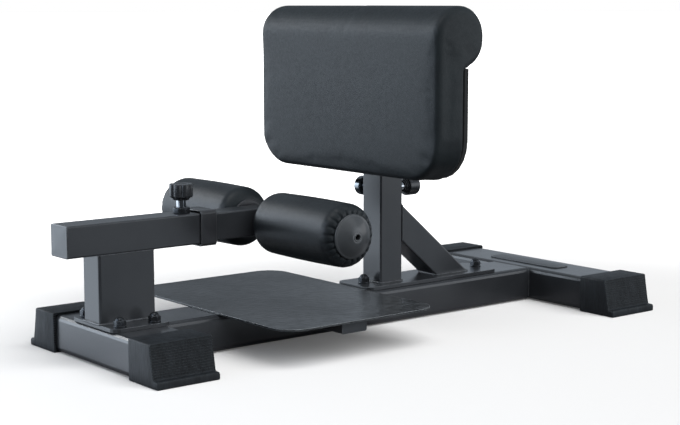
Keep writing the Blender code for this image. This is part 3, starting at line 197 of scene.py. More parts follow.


# Welded frame: beams and square tubes of mild steel, cut, welded and sprayed with one charcoal
# powder coat.  The coat is satin, with a fine orange peel, and its edges are a little lighter,
# as rubbed wear and a painted highlight.
MILLIMETRE = 0.001


def grain(tree, size_mm, detail=3.0, stretch=(1.0, 1.0, 1.0), rough=0.5):
    """Noise with grains of a real size in millimetres, drawn out by a stretch along each axis."""
    laid = add(tree, "Mapping", {"Vector": add(tree, "TexCoord", out="Object"),
                                 "Scale": [1.0 / share for share in stretch]})
    return add(tree, "TexNoise", {"Vector": laid, "Scale": 1.0 / (size_mm * MILLIMETRE),
                                  "Detail": detail, "Roughness": rough}, "Fac")


def surface(shader, layers, rough, relief=None, worn_and_lit_edges=None):
    """Finish a Principled shader with its colours, roughness, relief and lightened edges.

    The layers are a hex colour, and then what lies over it: a value, where it starts to show and
    where it covers, and its colour.  Rough is a value, two levels of it and the roughness at each.
    Relief is a height, its strength and its depth in metres.  The edge entry is the radius in
    millimetres to which sharp edges look rounded, how strongly they are lightened, up to 1, and
    their lighter colour, which is partly rubbed wear and partly a painted highlight along them.  An
    edge is where the rounded normal turns away from the true one, by their dot product.
    """
    tree = shader.id_data
    colour, over, bent = linear(layers[0]), layers[1:], {}
    # Edges are lightened: partly rubbed wear, partly a painted highlight along them
    if worn_and_lit_edges:
        bent["Normal"] = add(tree, "Bevel", {"Radius": worn_and_lit_edges[0] * MILLIMETRE}, samples=6)
        true = add(tree, "NewGeometry", out="True Normal")
        along = add(tree, "VectorMath", (bent["Normal"], true), "Value", operation="DOT_PRODUCT")
        over.append((add(tree, "MapRange", (along, 0.995, 0.86, 0.0, worn_and_lit_edges[1])), 0, 1, worn_and_lit_edges[2]))
    for value, starts, covers, code in over:
        share = add(tree, "MapRange", (value, starts, covers, 0.0, 1.0))
        colour = add(tree, "Mix", {"Factor": share, "A": colour, "B": linear(code)}, "Result",
                     data_type="RGBA")
    if relief:
        bent["Normal"] = add(tree, "Bump", {
            "Height": relief[0], "Strength": relief[1], "Distance": relief[2], **bent})
    wire(shader, {"Base Color": colour, "Roughness": add(tree, "MapRange", rough), **bent})


# Polyester powder coat on steel: dark charcoal, satin.  The real peel is under 1 mm, too fine to
# show, so it is drawn 3 mm wide and faint.  The edges are lightened in patches, partly as rubbed
# wear and partly as a painted highlight.
powder_coat, tree, shader = new_material("charcoal_powder_coat", {
    "IOR": 1.5, "Coat Weight": 0.6, "Coat Roughness": 0.20})
cloudy, peel = grain(tree, 70), grain(tree, 3.0, 2.0)
patches = add(tree, "MapRange", (grain(tree, 9), 0.35, 0.65, 0.25, 1.0))
uneven = add(tree, "Math", (cloudy, peel), operation="ADD")
surface(shader, ["#212326", (cloudy, 0.3, 0.7, "#282a2d")], (uneven, 0.7, 1.3, 0.28, 0.37),
        (peel, 0.16, 0.0003), (0.9, patches, "#7c8187"))


def coat(finish, *nodes):
    """Give CAD nodes, which keep their shape, another material."""
    for node in nodes:
        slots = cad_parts[node].data.materials
        slots.clear()
        slots.append(finish)


coat(powder_coat, "main_beam", "front_crossbar", "rear_crossbar", "front_post", "front_post_plate",
     "arm_tube", "slide_tube", "upright", "upright_plate", "upright_brace", "left_outrigger",
     "right_outrigger", "pad_post", "left_pad_bracket", "right_pad_bracket")


def skin(name, rows, closed=False, sharp=35.0):
    """A mesh over a grid of points whose columns run round it.

    Quads join each point to its neighbours, and the last column to the first.  Closed joins the
    last row to the first as well.  Otherwise one flat face closes each end.
    The faces are turned over where the volume that they enclose comes out negative.
    """
    count, around = rows.shape[:2]
    points = rows.reshape(-1, 3)
    row = np.arange(count if closed else count - 1)[:, None]
    column = np.arange(around)[None, :]
    following = (column + 1) % around
    above = (row + 1) % count
    quads = np.stack((row * around + column, row * around + following,
                      above * around + following, above * around + column), -1).reshape(-1, 4)
    caps = np.zeros((0, around), int)
    if not closed:
        caps = np.stack((np.arange(around)[::-1], (count - 1) * around + np.arange(around)))
    flat = np.vstack((quads[:, :3], quads[:, [0, 2, 3]]))
    for cap in caps:
        fan = np.stack((np.full(around, cap[0]), cap, np.roll(cap, -1)), -1)
        flat = np.vstack((flat, fan))
    first, second, third = points[flat.T]
    if (first * np.cross(second, third)).sum() < 0:
        quads, caps = quads[:, ::-1], caps[:, ::-1]
    mesh = bpy.data.meshes.new(name)
    mesh.from_pydata(points.tolist(), [], quads.tolist() + caps.tolist())
    mesh.shade_smooth()
    mesh.set_sharp_from_angle(angle=math.radians(sharp))
    made = bpy.data.objects.new(name, mesh)
    scene.collection.objects.link(made)
    return made


def fit(made, finish, body_name, slot_name, *nodes):
    """Give a piece its finish, the body it rides on and the nodes it stands for; the slot name is
    not used.
    """
    made.data.materials.append(finish)
    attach(made, body_name)
    if nodes:
        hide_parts(*nodes)
    return made


ALONG, ACROSS, UP = (1, 0, 0), (0, 1, 0), (0, 0, 1)


def crosswise(axis):
    """Two unit vectors across an axis, and the axis itself."""
    ahead = np.array(axis, float)
    first = np.roll(np.abs(ahead), 1)
    return first, np.cross(ahead, first), ahead


def turns(steps):
    """Angles that go once round in even steps."""
    return np.arange(steps) * 2 * np.pi / steps


def turned(name, centre, axis, parts, steps, finish, body_name, slot_name, *nodes, closed=False,
           sharp=35.0):
    """A piece turned round an axis: centre + radius (cos, sin) across it + height along it.

    Each part is its radii and its heights, one for each row, or one for each row and step.
    """
    first, second, ahead = crosswise(axis)
    radius, height = (np.vstack([np.reshape(part[side], (len(part[0]), -1)) * np.ones(steps)
                                 for part in parts]) for side in (0, 1))
    rows = (np.array(centre) + (radius * np.cos(turns(steps)))[..., None] * first
            + (radius * np.sin(turns(steps)))[..., None] * second + height[..., None] * ahead)
    return fit(skin(name, rows, closed, sharp), finish, body_name, slot_name, *nodes)


def rounded(half_first, half_second, corner_first, corner_second=None, steps=5):
    """Rounded rectangles, one for each row: four quarter ellipses joined by straight sides.

    A corner may have its own size, in the order ++, -+, --, +-.
    """
    corner_second = corner_first if corner_second is None else corner_second
    angle = (np.arange(4)[:, None] + np.linspace(0, 1, steps)) * np.pi / 2
    side_first = np.array([1, -1, -1, 1])[:, None]
    side_second = np.array([1, 1, -1, -1])[:, None]

    def spread(value):
        value = np.asarray(value, float)
        return value.reshape((-1, 4, 1) if value.ndim == 2 else (-1, 1, 1))

    a, b, c, d = map(spread, (half_first, half_second, corner_first, corner_second))
    first = side_first * (a - c) + c * np.cos(angle)
    second = side_second * (b - d) + d * np.sin(angle)
    first, second = np.broadcast_arrays(first, second)
    return first.reshape(len(first), -1), second.reshape(len(second), -1)


def square_rows(centre, axis, outline, height, shift=0.0):
    """Rows of points on rounded rectangles along an axis, shifted along their first side."""
    first, second, ahead = crosswise(axis)
    count = max(len(outline[0]), np.size(height))
    across = np.broadcast_to(outline[0], (count, outline[0].shape[1])) + np.reshape(shift, (-1, 1))
    other = np.broadcast_to(outline[1], across.shape)
    level = np.broadcast_to(np.reshape(height, (-1, 1)), across.shape)
    return (np.array(centre) + across[..., None] * first + other[..., None] * second
            + level[..., None] * ahead)


def softened(outline, cut, closed=False, steps=5):
    """An outline with its corners rounded.

    Each corner turns into a quadratic arc, whose ends lie on its two sides at the distance cut,
    or at 0.45 of the shorter side where that is less.
    """
    point = np.array(outline, float)
    back = np.roll(point, 1, 0) - point
    on = np.roll(point, -1, 0) - point
    back_length = np.linalg.norm(back, axis=1)
    on_length = np.linalg.norm(on, axis=1)
    reach = np.minimum(np.broadcast_to(cut, len(point)), 0.45 * np.minimum(back_length, on_length))
    start = point + back * (reach / back_length)[:, None]
    end = point + on * (reach / on_length)[:, None]
    share = np.linspace(0, 1, steps)[None, :, None]
    arc = ((1 - share) ** 2 * start[:, None] + 2 * share * (1 - share) * point[:, None]
           + share ** 2 * end[:, None])
    if closed:
        return arc.reshape(-1, 2)
    return np.vstack((point[:1], arc[1:-1].reshape(-1, 2), point[-1:]))


# Weld beads: one run of wire laid round each joint and sprayed over with the frame's coat.
# The bead is a few millimetres wide, with a scale of ripples along it.
BEAD_STEP = 0.0009            # from one section of the bead to the next
RIPPLE = 0.0035
SLOW_WAVE = 0.031             # over which the hand's speed widens and narrows the bead


def weld(name, centre, axis, half_first, half_second, corner, radius):
    """A rippled bead: a circle of growing and shrinking radius carried round a rounded rectangle.

    The rectangle is refilled with even steps by its running length.
    """
    first, second = rounded([half_first], [half_second], [corner], steps=6)
    loop = np.column_stack((first[0], second[0]))
    loop = np.vstack((loop, loop[:1]))
    run = np.concatenate(([0.0], np.cumsum(np.linalg.norm(np.diff(loop, axis=0), axis=1))))
    count = int(run[-1] / BEAD_STEP)
    at = np.arange(count) * run[-1] / count
    path = np.column_stack([np.interp(at, run, loop[:, side]) for side in (0, 1)])
    ahead = np.roll(path, -1, 0) - np.roll(path, 1, 0)
    ahead /= np.linalg.norm(ahead, axis=1)[:, None]
    outward = np.column_stack((ahead[:, 1], -ahead[:, 0]))
    turn = turns(10)
    swell = radius * (1.0 + 0.10 * np.cos(2 * np.pi * at / RIPPLE)
                      + 0.05 * np.sin(2 * np.pi * at / SLOW_WAVE))
    side = swell[:, None] * np.cos(turn)
    lift = 0.8 * swell[:, None] * np.sin(turn)
    across, other, along = crosswise(axis)
    flat = path[:, None] + side[..., None] * outward[:, None]
    rows = (np.array(centre) + flat[..., :1] * across + flat[..., 1:] * other
            + lift[..., None] * along)
    fit(skin(name, rows, closed=True, sharp=60), powder_coat, "base", "frame")


def ends(node):
    """The low and the high corner of a CAD node's box."""
    return [np.array(corner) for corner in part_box(node)]


def middle_of(node):
    """The middle of a CAD node's box, and half its size."""
    low, high = ends(node)
    return (low + high) / 2, (high - low) / 2


post_middle, post_half = middle_of("front_post")
upright_middle, upright_half = middle_of("upright")
beam_middle, beam_half = middle_of("main_beam")
bar_middle, bar_half = middle_of("left_outrigger")
on_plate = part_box("front_post_plate")[1].z + 0.0008
below_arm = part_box("arm_tube")[0].z
weld("post_foot_weld", (post_middle[0], 0, on_plate), UP,
     post_half[0] + 0.0004, post_half[1] + 0.0004, 0.0036, 0.0024)
weld("post_head_weld", (post_middle[0], 0, below_arm), UP,
     post_half[0], post_half[1] - 0.0006, 0.0034, 0.0010)
weld("upright_foot_weld", (upright_middle[0], 0, on_plate), UP,
     upright_half[0] + 0.0004, upright_half[1] + 0.0004, 0.0027, 0.0024)
for name, way in (("front_beam_weld", -1), ("rear_beam_weld", 1)):
    weld(name, (beam_middle[0] + way * beam_half[0], 0, beam_middle[2]), ALONG,
         beam_half[1] - 0.0004, beam_half[2] - 0.0004, 0.0078, 0.0010)
for name, side in (("left_outrigger_weld", -1), ("right_outrigger_weld", 1)):
    weld(name, (bar_middle[0], side * (abs(bar_middle[1]) - bar_half[1]), bar_middle[2]), ACROSS,
         bar_half[2], bar_half[0], 0.003, 0.0016)
# The brace meets the upright and the plate at a slant, so its joints are long rectangles
BRACE_TUBE = 0.050
BRACE_TURN = math.radians(40.3)
brace_low, brace_high = ends("upright_brace")
brace_drop = BRACE_TUBE / math.cos(BRACE_TURN)
brace_run = BRACE_TUBE / math.sin(BRACE_TURN)
weld("brace_head_weld", (brace_low[0] - 0.0002, 0, brace_high[2] - brace_drop / 2), ALONG,
     BRACE_TUBE / 2 + 0.0002, brace_drop / 2 + 0.0002, 0.0027, 0.0014)
weld("brace_foot_weld", (brace_high[0] - brace_run / 2, 0, on_plate), UP,
     brace_run / 2 + 0.0002, BRACE_TUBE / 2 + 0.0004, 0.0027, 0.0021)


# Rubber feet: black moulded caps pushed over the ends of both crossbars.  Each has a square mouth,
# a ribbed end that leans inwards, and a lip along the floor.  Dust makes the rubber a little grey.
FOOT_WALL_INNER = 0.0503          # half the room for the beam
FOOT_ROOM = (0.0012, 0.0618)      # floor and roof of the room for the beam
FOOT_GRIP = 0.0470                # how far the cap goes over the beam
FOOT_SLOPE_START = 0.0595
FOOT_SLOPE_RUN = 0.0095
FOOT_LIP_TOP = 0.0120
FOOT_BRIM = 0.0014                # rounded rim above the first rib
FOOT_RIBS = 13
FOOT_RIBS_END = FOOT_LIP_TOP + 0.001
foot_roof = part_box("front_left_foot")[1].z
rib_pitch = (foot_roof - FOOT_BRIM - FOOT_RIBS_END) / FOOT_RIBS

# EPDM rubber from a sparked mould: near black, matt, with a dry bloom drawn down its sides.  Under
# each rib of the leaning ends, a line of painted shade is darker and less shiny, over a shallow
# dent in the relief.  Its edges are lighter grey, partly wear and partly a painted highlight.
rubber, tree, shader = new_material("moulded_rubber", {"IOR": 1.50, "Specular IOR Level": 0.40})
bloom = grain(tree, 16, 4.0, (1.0, 1.0, 4.0), 0.65)
streak = grain(tree, 1.8, 3.0, (1.0, 1.0, 9.0))
mottle = add(tree, "Math", (bloom, streak), operation="ADD")
on_foot = add(tree, "TexCoord", out="Object")
up = add(tree, "SeparateXYZ", (on_foot,), "Z")
dropped = add(tree, "Math", (foot_roof - FOOT_BRIM, up), operation="SUBTRACT")
ribs_down = add(tree, "Math", (dropped, rib_pitch), operation="DIVIDE")
from_step = add(tree, "Math", (ribs_down, 0.5), operation="PINGPONG")
groove_and_shade = add(tree, "MapRange", (from_step, 0.10, 0.26, 1.0, 0.0))
facing = add(tree, "NewGeometry", out="Normal")
sideways = add(tree, "SeparateXYZ", (facing,), "Y")
sideways = add(tree, "Math", (sideways,), operation="ABSOLUTE")
# the painted shade lines show on the leaning ends alone, and above the lip
for value, none, all_of_it in ((sideways, 0.7, 0.9), (up, FOOT_LIP_TOP, FOOT_LIP_TOP + 0.002)):
    share = add(tree, "MapRange", (value, none, all_of_it, 0.0, 1.0))
    groove_and_shade = add(tree, "Math", (groove_and_shade, share), operation="MULTIPLY")
raised = add(tree, "Math", (streak, groove_and_shade), operation="SUBTRACT")
surface(shader, ["#131517", (mottle, 0.75, 1.3, "#22262a"), (groove_and_shade, 0, 1, "#050506")],
        (mottle, 0.75, 1.3, 0.60, 0.44), (raised, 0.5, 0.0005), (0.8, 0.6, "#4c5256"))
# the painted shade lines are also less shiny
wire(shader, {"Specular IOR Level": add(tree, "MapRange", (groove_and_shade, 0, 1, 0.36, 0.10))})


def rubber_foot(node):
    """One cap as rounded rectangles stacked outwards along its crossbar.

    The rows start at the end wall inside, come back to the mouth, turn over its rim and run out
    along the outside.  Down the leaning end the roof of each row falls in steps, which are the
    ribs: each starts with a short ledge and then drops to the next.
    """
    low, high = ends(node)
    side = 1.0 if low[1] > 0 else -1.0
    mouth = min(abs(low[1]), abs(high[1]))
    length = high[1] - low[1]
    half = (high[0] - low[0]) / 2
    roof = high[2]
    # one row each: distance outwards, half width, floor, roof
    rows = [(FOOT_GRIP, FOOT_WALL_INNER, *FOOT_ROOM), (0.0010, FOOT_WALL_INNER, *FOOT_ROOM),
            (0.0, FOOT_WALL_INNER + 0.0008, FOOT_ROOM[0] - 0.0004, FOOT_ROOM[1] + 0.0007),
            (0.0, half - 0.0012, 0.0004, roof - 0.0012),
            (0.0004, half - 0.0004, 0.0001, roof - 0.0004), (0.0014, half, 0.0, roof),
            (FOOT_SLOPE_START - 0.0020, half, 0.0, roof),
            (FOOT_SLOPE_START - 0.0006, half, 0.0, roof - 0.0004)]
    fall = np.linspace(0, 1, FOOT_RIBS + 1)
    top = roof - FOOT_BRIM - (roof - FOOT_BRIM - FOOT_RIBS_END) * fall
    out = FOOT_SLOPE_START + FOOT_SLOPE_RUN * (roof - top) / (roof - FOOT_LIP_TOP)
    step = np.diff(out)
    ledge = np.column_stack((out[:-1], top[:-1], out[:-1] + 0.22 * step, top[1:] + 0.0006,
                             out[:-1] + 0.9 * step, top[1:] + 0.0001)).reshape(-1, 2)
    rows += [(at, half, 0.0, level) for at, level in ledge]
    rows += [(out[-1] + 0.0006, half, 0.0, FOOT_LIP_TOP + 0.0002),
             (length - 0.0016, half, 0.0, FOOT_LIP_TOP - 0.0004),
             (length - 0.0004, half - 0.0003, 0.0, FOOT_LIP_TOP - 0.0014),
             (length, half - 0.0012, 0.0006, FOOT_LIP_TOP - 0.0028)]
    out, half_width, floor_z, roof_z = np.array(rows).T
    up = (roof_z - floor_z) / 2
    # on the leaning end the two upper corners are drawn out, which rounds the cap's upright edges
    leaning = (out > FOOT_SLOPE_START) & (roof_z > FOOT_LIP_TOP + 0.002)
    tall = np.where(leaning, np.minimum(0.012, up * 0.8), 0.0028)
    wide = np.where(leaning, 0.0022, 0.0028)
    plain = np.full(len(out), 0.0022)
    outline = rounded(up, half_width, np.column_stack((tall, plain, plain, tall)),
                      np.column_stack((wide, plain, plain, wide)), steps=6)
    shape = square_rows(((low[0] + high[0]) / 2, side * mouth, 0.0), (0, side, 0), outline, out,
                        (roof_z + floor_z) / 2)
    fit(skin(node.replace("foot", "rubber_foot"), shape, sharp=30), rubber, "base", "feet", node)


for node in ("front_left_foot", "front_right_foot", "rear_left_foot", "rear_right_foot"):
    rubber_foot(node)


# Plate bolts: M10 steel bolts from inside the beams, each with a washer and a domed cap nut on the
# plate.  They are blackened, and the oil on them leaves a semi-gloss that picks up the soft boxes.
NUT_ACROSS = 0.017
NUT_HEX = 0.0082                  # height of its hexagon
NUT_TOTAL = 0.0138
NUT_DOME = 0.0074
WASHER = 0.0020
WASHER_RADIUS = 0.0102
BOLT_SHANK = 0.005
BOLT_HEAD = 0.0045
BOLT_HEAD_RADIUS = 0.0092

# Black oxide on steel: dark grey with a faint brown cast, smooth, with brighter corners that are
# rubbed wear and a painted highlight
black_steel, tree, shader = new_material("black_oxide_steel", {"Metallic": 0.85})
patchy = grain(tree, 6)
surface(shader, ["#3c3f43", (patchy, 0.3, 0.7, "#4d5054")], (patchy, 0.3, 0.7, 0.24, 0.36),
        (grain(tree, 0.8, 2.0), 0.1, 0.0001), (0.5, 0.7, "#9da1a6"))


def hexagon(across, steps):
    """Distance to a hexagon's sides: half its width over the cosine of the turn from a flat."""
    fold = (turns(steps) + np.pi / 6) % (np.pi / 3) - np.pi / 6
    return across / 2 / np.cos(fold)


def plate_bolt(node):
    """A bolt with its washer and cap nut, as rows from the top of the nut down to the bolt's head.

    They are a dome, a hexagon whose corners are cut by a cone above and below, a disc and a shank.
    """
    low, high = ends(node)
    top = high[2]
    seat = top - NUT_TOTAL - WASHER
    hex_top = top - NUT_TOTAL + NUT_HEX
    steps = 72
    sides = hexagon(NUT_ACROSS, steps)
    rise = np.radians([86, 74, 60, 46, 32, 18, 6, 0])
    drop = np.array([0.0, 0.0004, 0.0008, 0.0013, 0.0020])
    foot = np.array([0.0014, 0.0007, 0.0])
    disc = softened([(0.0080, seat + WASHER), (WASHER_RADIUS, seat + WASHER),
                     (WASHER_RADIUS, seat), (BOLT_SHANK, seat)], 0.0004, steps=3)
    head = softened([(BOLT_SHANK, low[2] + BOLT_HEAD), (BOLT_HEAD_RADIUS, low[2] + BOLT_HEAD),
                     (BOLT_HEAD_RADIUS, low[2]), (0.001, low[2])], 0.0006, steps=3)
    turned(node + "_and_cap_nut", (*((low + high) / 2)[:2], 0.0), UP, [
        (NUT_DOME * np.cos(rise), hex_top + (top - hex_top) * np.sin(rise)),
        (np.minimum(sides, NUT_DOME + 0.0005 + 1.5 * drop[:, None]), hex_top - drop),
        (np.minimum(sides, NUT_DOME + 0.0010 + 1.2 * foot[:, None]), seat + WASHER + foot),
        disc.T, head.T], steps, black_steel, "base", "fasteners", node, sharp=28)


for node in ("post_bolt_front_left", "post_bolt_front_right", "post_bolt_rear_left",
             "post_bolt_rear_right", "upright_bolt_front", "upright_bolt_rear"):
    plate_bolt(node)


# Footplate: 3 mm sheet steel with wide round corners, laid on the beam and on two short bars.  Its
# coat is a little lighter and drier than the frame's, with a fine grip of short ridges along it.
grip_coat, tree, shader = new_material("grip_powder_coat", {"IOR": 1.5})
# the real ridges are about 1 mm apart, drawn here 7 mm apart so that they show
ridges = grain(tree, 7.0, 3.0, (2.5, 1.0, 1.0))
# its edges get a lighter grey that is a painted highlight
surface(shader, ["#191b1c", (ridges, 0.35, 0.65, "#373a3d")],
        (grain(tree, 90), 0.3, 0.7, 0.20, 0.27), (ridges, 0.8, 0.0010), (1.2, 1.0, "#83888c"))
coat(grip_coat, "footplate")


# Bare plate on the rear crossbar: thin pressed steel with round corners, brushed across and
# sprayed satin black.  Its edge is drawn down all round, and no fixing shows in it.
satin_plate, tree, shader = new_material("satin_black_plate", {"Metallic": 0.35})
brushed = grain(tree, 0.9, 2.0, (1.0, 30.0, 1.0))
# its edges get a light grey that is a painted highlight
surface(shader, ["#3c3f42", (brushed, 0.3, 0.7, "#494c50")], (brushed, 0.3, 0.7, 0.30, 0.42),
        worn_and_lit_edges=(0.6, 1.0, "#b4b8bc"))
PLATE_THICK = 0.0018
plate_middle, plate_half = middle_of("rear_badge_plate")
plate_edge = softened([(0.0, 0.0), (1.0, 0.0), (1.0, 1.0), (0.0, 1.0)], 0.45, steps=6)[1:-1]
draw = 0.0008 * (1 - plate_edge[:, 0])
plate_rows = square_rows(
    (*plate_middle[:2], ends("rear_badge_plate")[0][2]), UP,
    rounded(plate_half[0] - draw, plate_half[1] - draw, 0.010 - draw, steps=8),
    PLATE_THICK * plate_edge[:, 1])
fit(skin("bare_rear_plate", plate_rows, sharp=50), satin_plate, "base", "badge", "rear_badge_plate")


# Plugs and collar: black nylon mouldings.  The plugs close the tube ends, and the collar over the
# arm's open end guides the sliding tube.


def moulded_nylon(name, darker, lighter, low_rough, high_rough):
    """Nylon with a spark-eroded mould grain, and a painted highlight along its rounded edges."""
    made, tree, shader = new_material(name, {
        "IOR": 1.53, "Coat Weight": 0.5, "Coat Roughness": 0.2})
    cloudy = grain(tree, 30)
    surface(shader, [darker, (cloudy, 0.3, 0.7, lighter)],
            (cloudy, 0.3, 0.7, low_rough, high_rough),
            (grain(tree, 1.4, 2.0), 0.15, 0.0002), (0.6, 1.0, "#90959a"))
    return made


nylon = moulded_nylon("black_nylon", "#1e2023", "#28292c", 0.32, 0.42)
grey_nylon = moulded_nylon("charcoal_nylon", "#313437", "#3c3f42", 0.28, 0.38)


def end_plug(name, node, axis, size, body_name):
    """A square plug: a slightly domed face with rounded edges, and a shorter square stub behind.

    Each row is a rounded square.  On the face its height is minus the dome times its size squared.
    """
    low, high = ends(node)
    way = np.array(axis, float)
    face = np.where(way > 0, high, low)
    centre = np.where(way != 0, face, (low + high) / 2)
    half = size / 2
    dome = 0.0008
    share = np.array([0.05, 0.25, 0.45, 0.65, 0.80, 0.90])
    rim = softened([(half * 0.93, -0.0006), (half, -dome), (half, -0.0017),
                    (half - 0.0014, -0.0020), (half - 0.0024, -0.0135), (0.004, -0.0135)],
                   0.0005, steps=4)
    sizes = np.concatenate((half * share, rim[:, 0]))
    heights = np.concatenate((-dome * share ** 2, rim[:, 1]))
    outline = rounded(sizes, sizes, np.minimum(0.0027, sizes * 0.3))
    rows = square_rows(centre, axis, outline, heights)
    fit(skin(name, rows, sharp=40), grey_nylon, body_name, "plastic", node)


end_plug("arm_front_plug", "arm_end_plug", (-1, 0, 0), 0.050, "base")
end_plug("slide_rear_plug", "slide_end_plug", ALONG, 0.045, "roller_carriage")
end_plug("pad_post_top_plug", "pad_post_plug", UP, 0.045, "pad_carriage")

# The collar's wall in section is carried round a rounded square.  It grips the arm behind its
# mouth, which is wider than the arm and leaves a dark line round the tube.
COLLAR_BORE = 0.0228
COLLAR_GRIP = 0.0253
COLLAR_MOUTH = 0.0266
low, high = ends("arm_collar")
half, length = (high[2] - low[2]) / 2, high[0] - low[0]
wall = softened([(half, 0.0), (half, length), (COLLAR_BORE, length), (COLLAR_BORE, 0.0150),
                 (COLLAR_GRIP, 0.0150), (COLLAR_GRIP, 0.0045), (COLLAR_MOUTH, 0.0038),
                 (COLLAR_MOUTH, 0.0)], 0.0014, closed=True, steps=4)
corner = 0.0024 + 0.0036 * (wall[:, 0] - COLLAR_BORE) / (half - COLLAR_BORE)
collar_rows = square_rows((low[0], 0.0, (low[2] + high[2]) / 2), ALONG,
                          rounded(wall[:, 0], wall[:, 0], corner, steps=7), wall[:, 1])
fit(skin("arm_guide_collar", collar_rows, closed=True), nylon, "base", "plastic", "arm_collar")


# Lock pins and clamp: each has a turned steel nut welded to its tube.  A lock pin is a chromed body
# with a spring and a pin inside, and a phenolic knob, fluted on the top one.  The clamp is a screw.

# Bright chrome on a turned body: mirror smooth, and uneven by a hair at about 1 mm
chrome, tree, shader = new_material("bright_chrome", {"Metallic": 1.0})
surface(shader, ["#dfe2e6"], (grain(tree, 8), 0.3, 0.7, 0.06, 0.13),
        (grain(tree, 1.0, 2.0), 0.05, 0.0001))

# The clamp's knob is turned and polished steel under a smoky nickel plate
polished, tree, shader = new_material("smoky_nickel", {"Metallic": 1.0})
surface(shader, ["#8d9296"], (grain(tree, 6), 0.3, 0.7, 0.14, 0.22),
        (grain(tree, 1.0, 2.0), 0.05, 0.0001))

# Zinc plate on the pins, the axle and the clamp screw: pale, slightly blue, softly shiny
zinc, tree, shader = new_material("zinc_plate", {"Metallic": 1.0})
patchy = grain(tree, 5)
surface(shader, ["#aab0b6", (patchy, 0, 1, "#c3c8cc")], (patchy, 0.3, 0.7, 0.24, 0.36))
coat(zinc, "top_pin_plunger", "rear_pin_plunger", "clamp_screw", "roller_axle")

# Spring steel wire, bright drawn and lightly oiled
spring_wire, tree, shader = new_material("spring_steel", {"Metallic": 1.0})
surface(shader, ["#8c9095"], (grain(tree, 2, 2.0), 0.3, 0.7, 0.22, 0.34))
SPRING_TURNS = 6
WIRE = 0.0010


def coil_spring(node, axis):
    """A compression spring: round wire along a helix, from its inner end to its outer end.

    On the bench the outer end stays and the inner end follows the pin; this helix keeps one length.
    """
    low, high = ends(node)
    first, second, ahead = crosswise(axis)
    reach = (high - low) @ first / 2 - WIRE / 2
    start, length = low @ ahead + WIRE / 2, (high - low) @ ahead - WIRE
    turn = np.linspace(0, 2 * np.pi * SPRING_TURNS, SPRING_TURNS * 20 + 1)[:, None]
    outward = np.cos(turn) * first + np.sin(turn) * second
    line = ((low + high) / 2 * (1 - ahead) + reach * outward
            + (start + length * turn / turn[-1]) * ahead)
    onward = reach * (np.cos(turn) * second - np.sin(turn) * first) + length / turn[-1] * ahead
    across = np.cross(onward / np.linalg.norm(onward, axis=1)[:, None], outward)
    bend = turns(10)[None, :, None]
    rows = line[:, None] + WIRE / 2 * (np.cos(bend) * outward[:, None]
                                       + np.sin(bend) * across[:, None])
    name = node.replace("spring", "coil_spring")
    made = fit(skin(name, rows, sharp=80), spring_wire, "base", "springs", node)
    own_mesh(made)


coil_spring("top_pin_spring", UP)
coil_spring("rear_pin_spring", ALONG)

# Gloss black knob moulding: phenolic, polished in the mould, a little hazy from hands
gloss_knob, tree, shader = new_material("gloss_phenolic", {
    "IOR": 1.6, "Coat Weight": 0.3, "Coat Roughness": 0.12})
hazy = grain(tree, 12)
surface(shader, ["#1d1f21", (hazy, 0, 1, "#292b2e")], (hazy, 0.3, 0.7, 0.20, 0.32),
        (grain(tree, 0.7, 2.0), 0.06, 0.0001))


def turned_ring(name, node, centre, axis, outline, finish, body_name, slot_name, cut=0.0005,
                steps=64, sharp=35.0):
    """A ring whose section is a closed outline of radius and height, turned round an axis.

    A cut above 0 rounds the outline's corners.
    """
    wall = softened(outline, cut, closed=True, steps=4) if cut else outline
    turned(name, centre, axis, [wall.T], steps, finish, body_name, slot_name, node, closed=True,
           sharp=sharp)


LIFT = 0.0003                     # of each nut and body off its tube
top_seat = (middle_of("top_pin_body")[0][0], 0.0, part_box("arm_tube")[1].z)
rear_seat = (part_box("upright")[1].x, 0.0, middle_of("rear_pin_body")[0][2])
clamp_seat = (upright_middle[0], upright_half[1], rear_seat[2])
for name, centre, axis in (("top_pin", top_seat, UP), ("rear_pin", rear_seat, ALONG)):
    turned_ring(name + "_base_nut", name + "_weld_nut", centre, axis,
                [(0.0140, LIFT), (0.0140, 0.0080), (0.0124, 0.0096), (0.0083, 0.0096),
                 (0.0083, LIFT)], black_steel, "base", "fasteners")
    turned_ring(name + "_chrome_body", name + "_body", centre, axis,
                [(0.0080, LIFT), (0.0080, 0.0320), (0.0033, 0.0320), (0.0033, 0.0290),
                 (0.0053, 0.0290), (0.0053, LIFT)], chrome, "base", "plated")
turned_ring("clamp_base_nut", "clamp_weld_nut", clamp_seat, ACROSS,
            [(0.0110, LIFT), (0.0110, 0.0066), (0.0096, 0.0080), (0.0053, 0.0080),
             (0.0053, LIFT)], black_steel, "base", "fasteners")


# Each knob starts in the pocket for the part that it is fixed to.  The top one has eight rounded
# flutes.  Their depth is the sixth power of a sine round the knob, and fades to its foot and top.
KNOB_FOOT, KNOB_HEIGHT, KNOB_RADIUS = 0.0210, 0.0260, 0.0195
FLUTES, FLUTE_DEPTH = 8, 0.0024
profile = softened([(0.0086, 0.0), (0.0128, 0.0), (0.0134, 0.08 * KNOB_HEIGHT),
                    (KNOB_RADIUS, 0.22 * KNOB_HEIGHT), (KNOB_RADIUS, KNOB_HEIGHT),
                    (KNOB_RADIUS * 0.55, KNOB_HEIGHT), (KNOB_RADIUS * 0.50, 0.97 * KNOB_HEIGHT),
                    (0.001, 0.97 * KNOB_HEIGHT)],
                   [0, 0.0006, 0.0012, 0.0016, 0.0018, 0.0006, 0.0006, 0], steps=5)
fade = np.clip((profile[:, 1] / KNOB_HEIGHT - 0.08) / 0.14, 0, 1)
fade *= profile[:, 0] > KNOB_RADIUS * 0.7
flute = FLUTE_DEPTH * np.sin(FLUTES * turns(160) / 2 + 0.6)[None] ** 6 * fade[:, None]
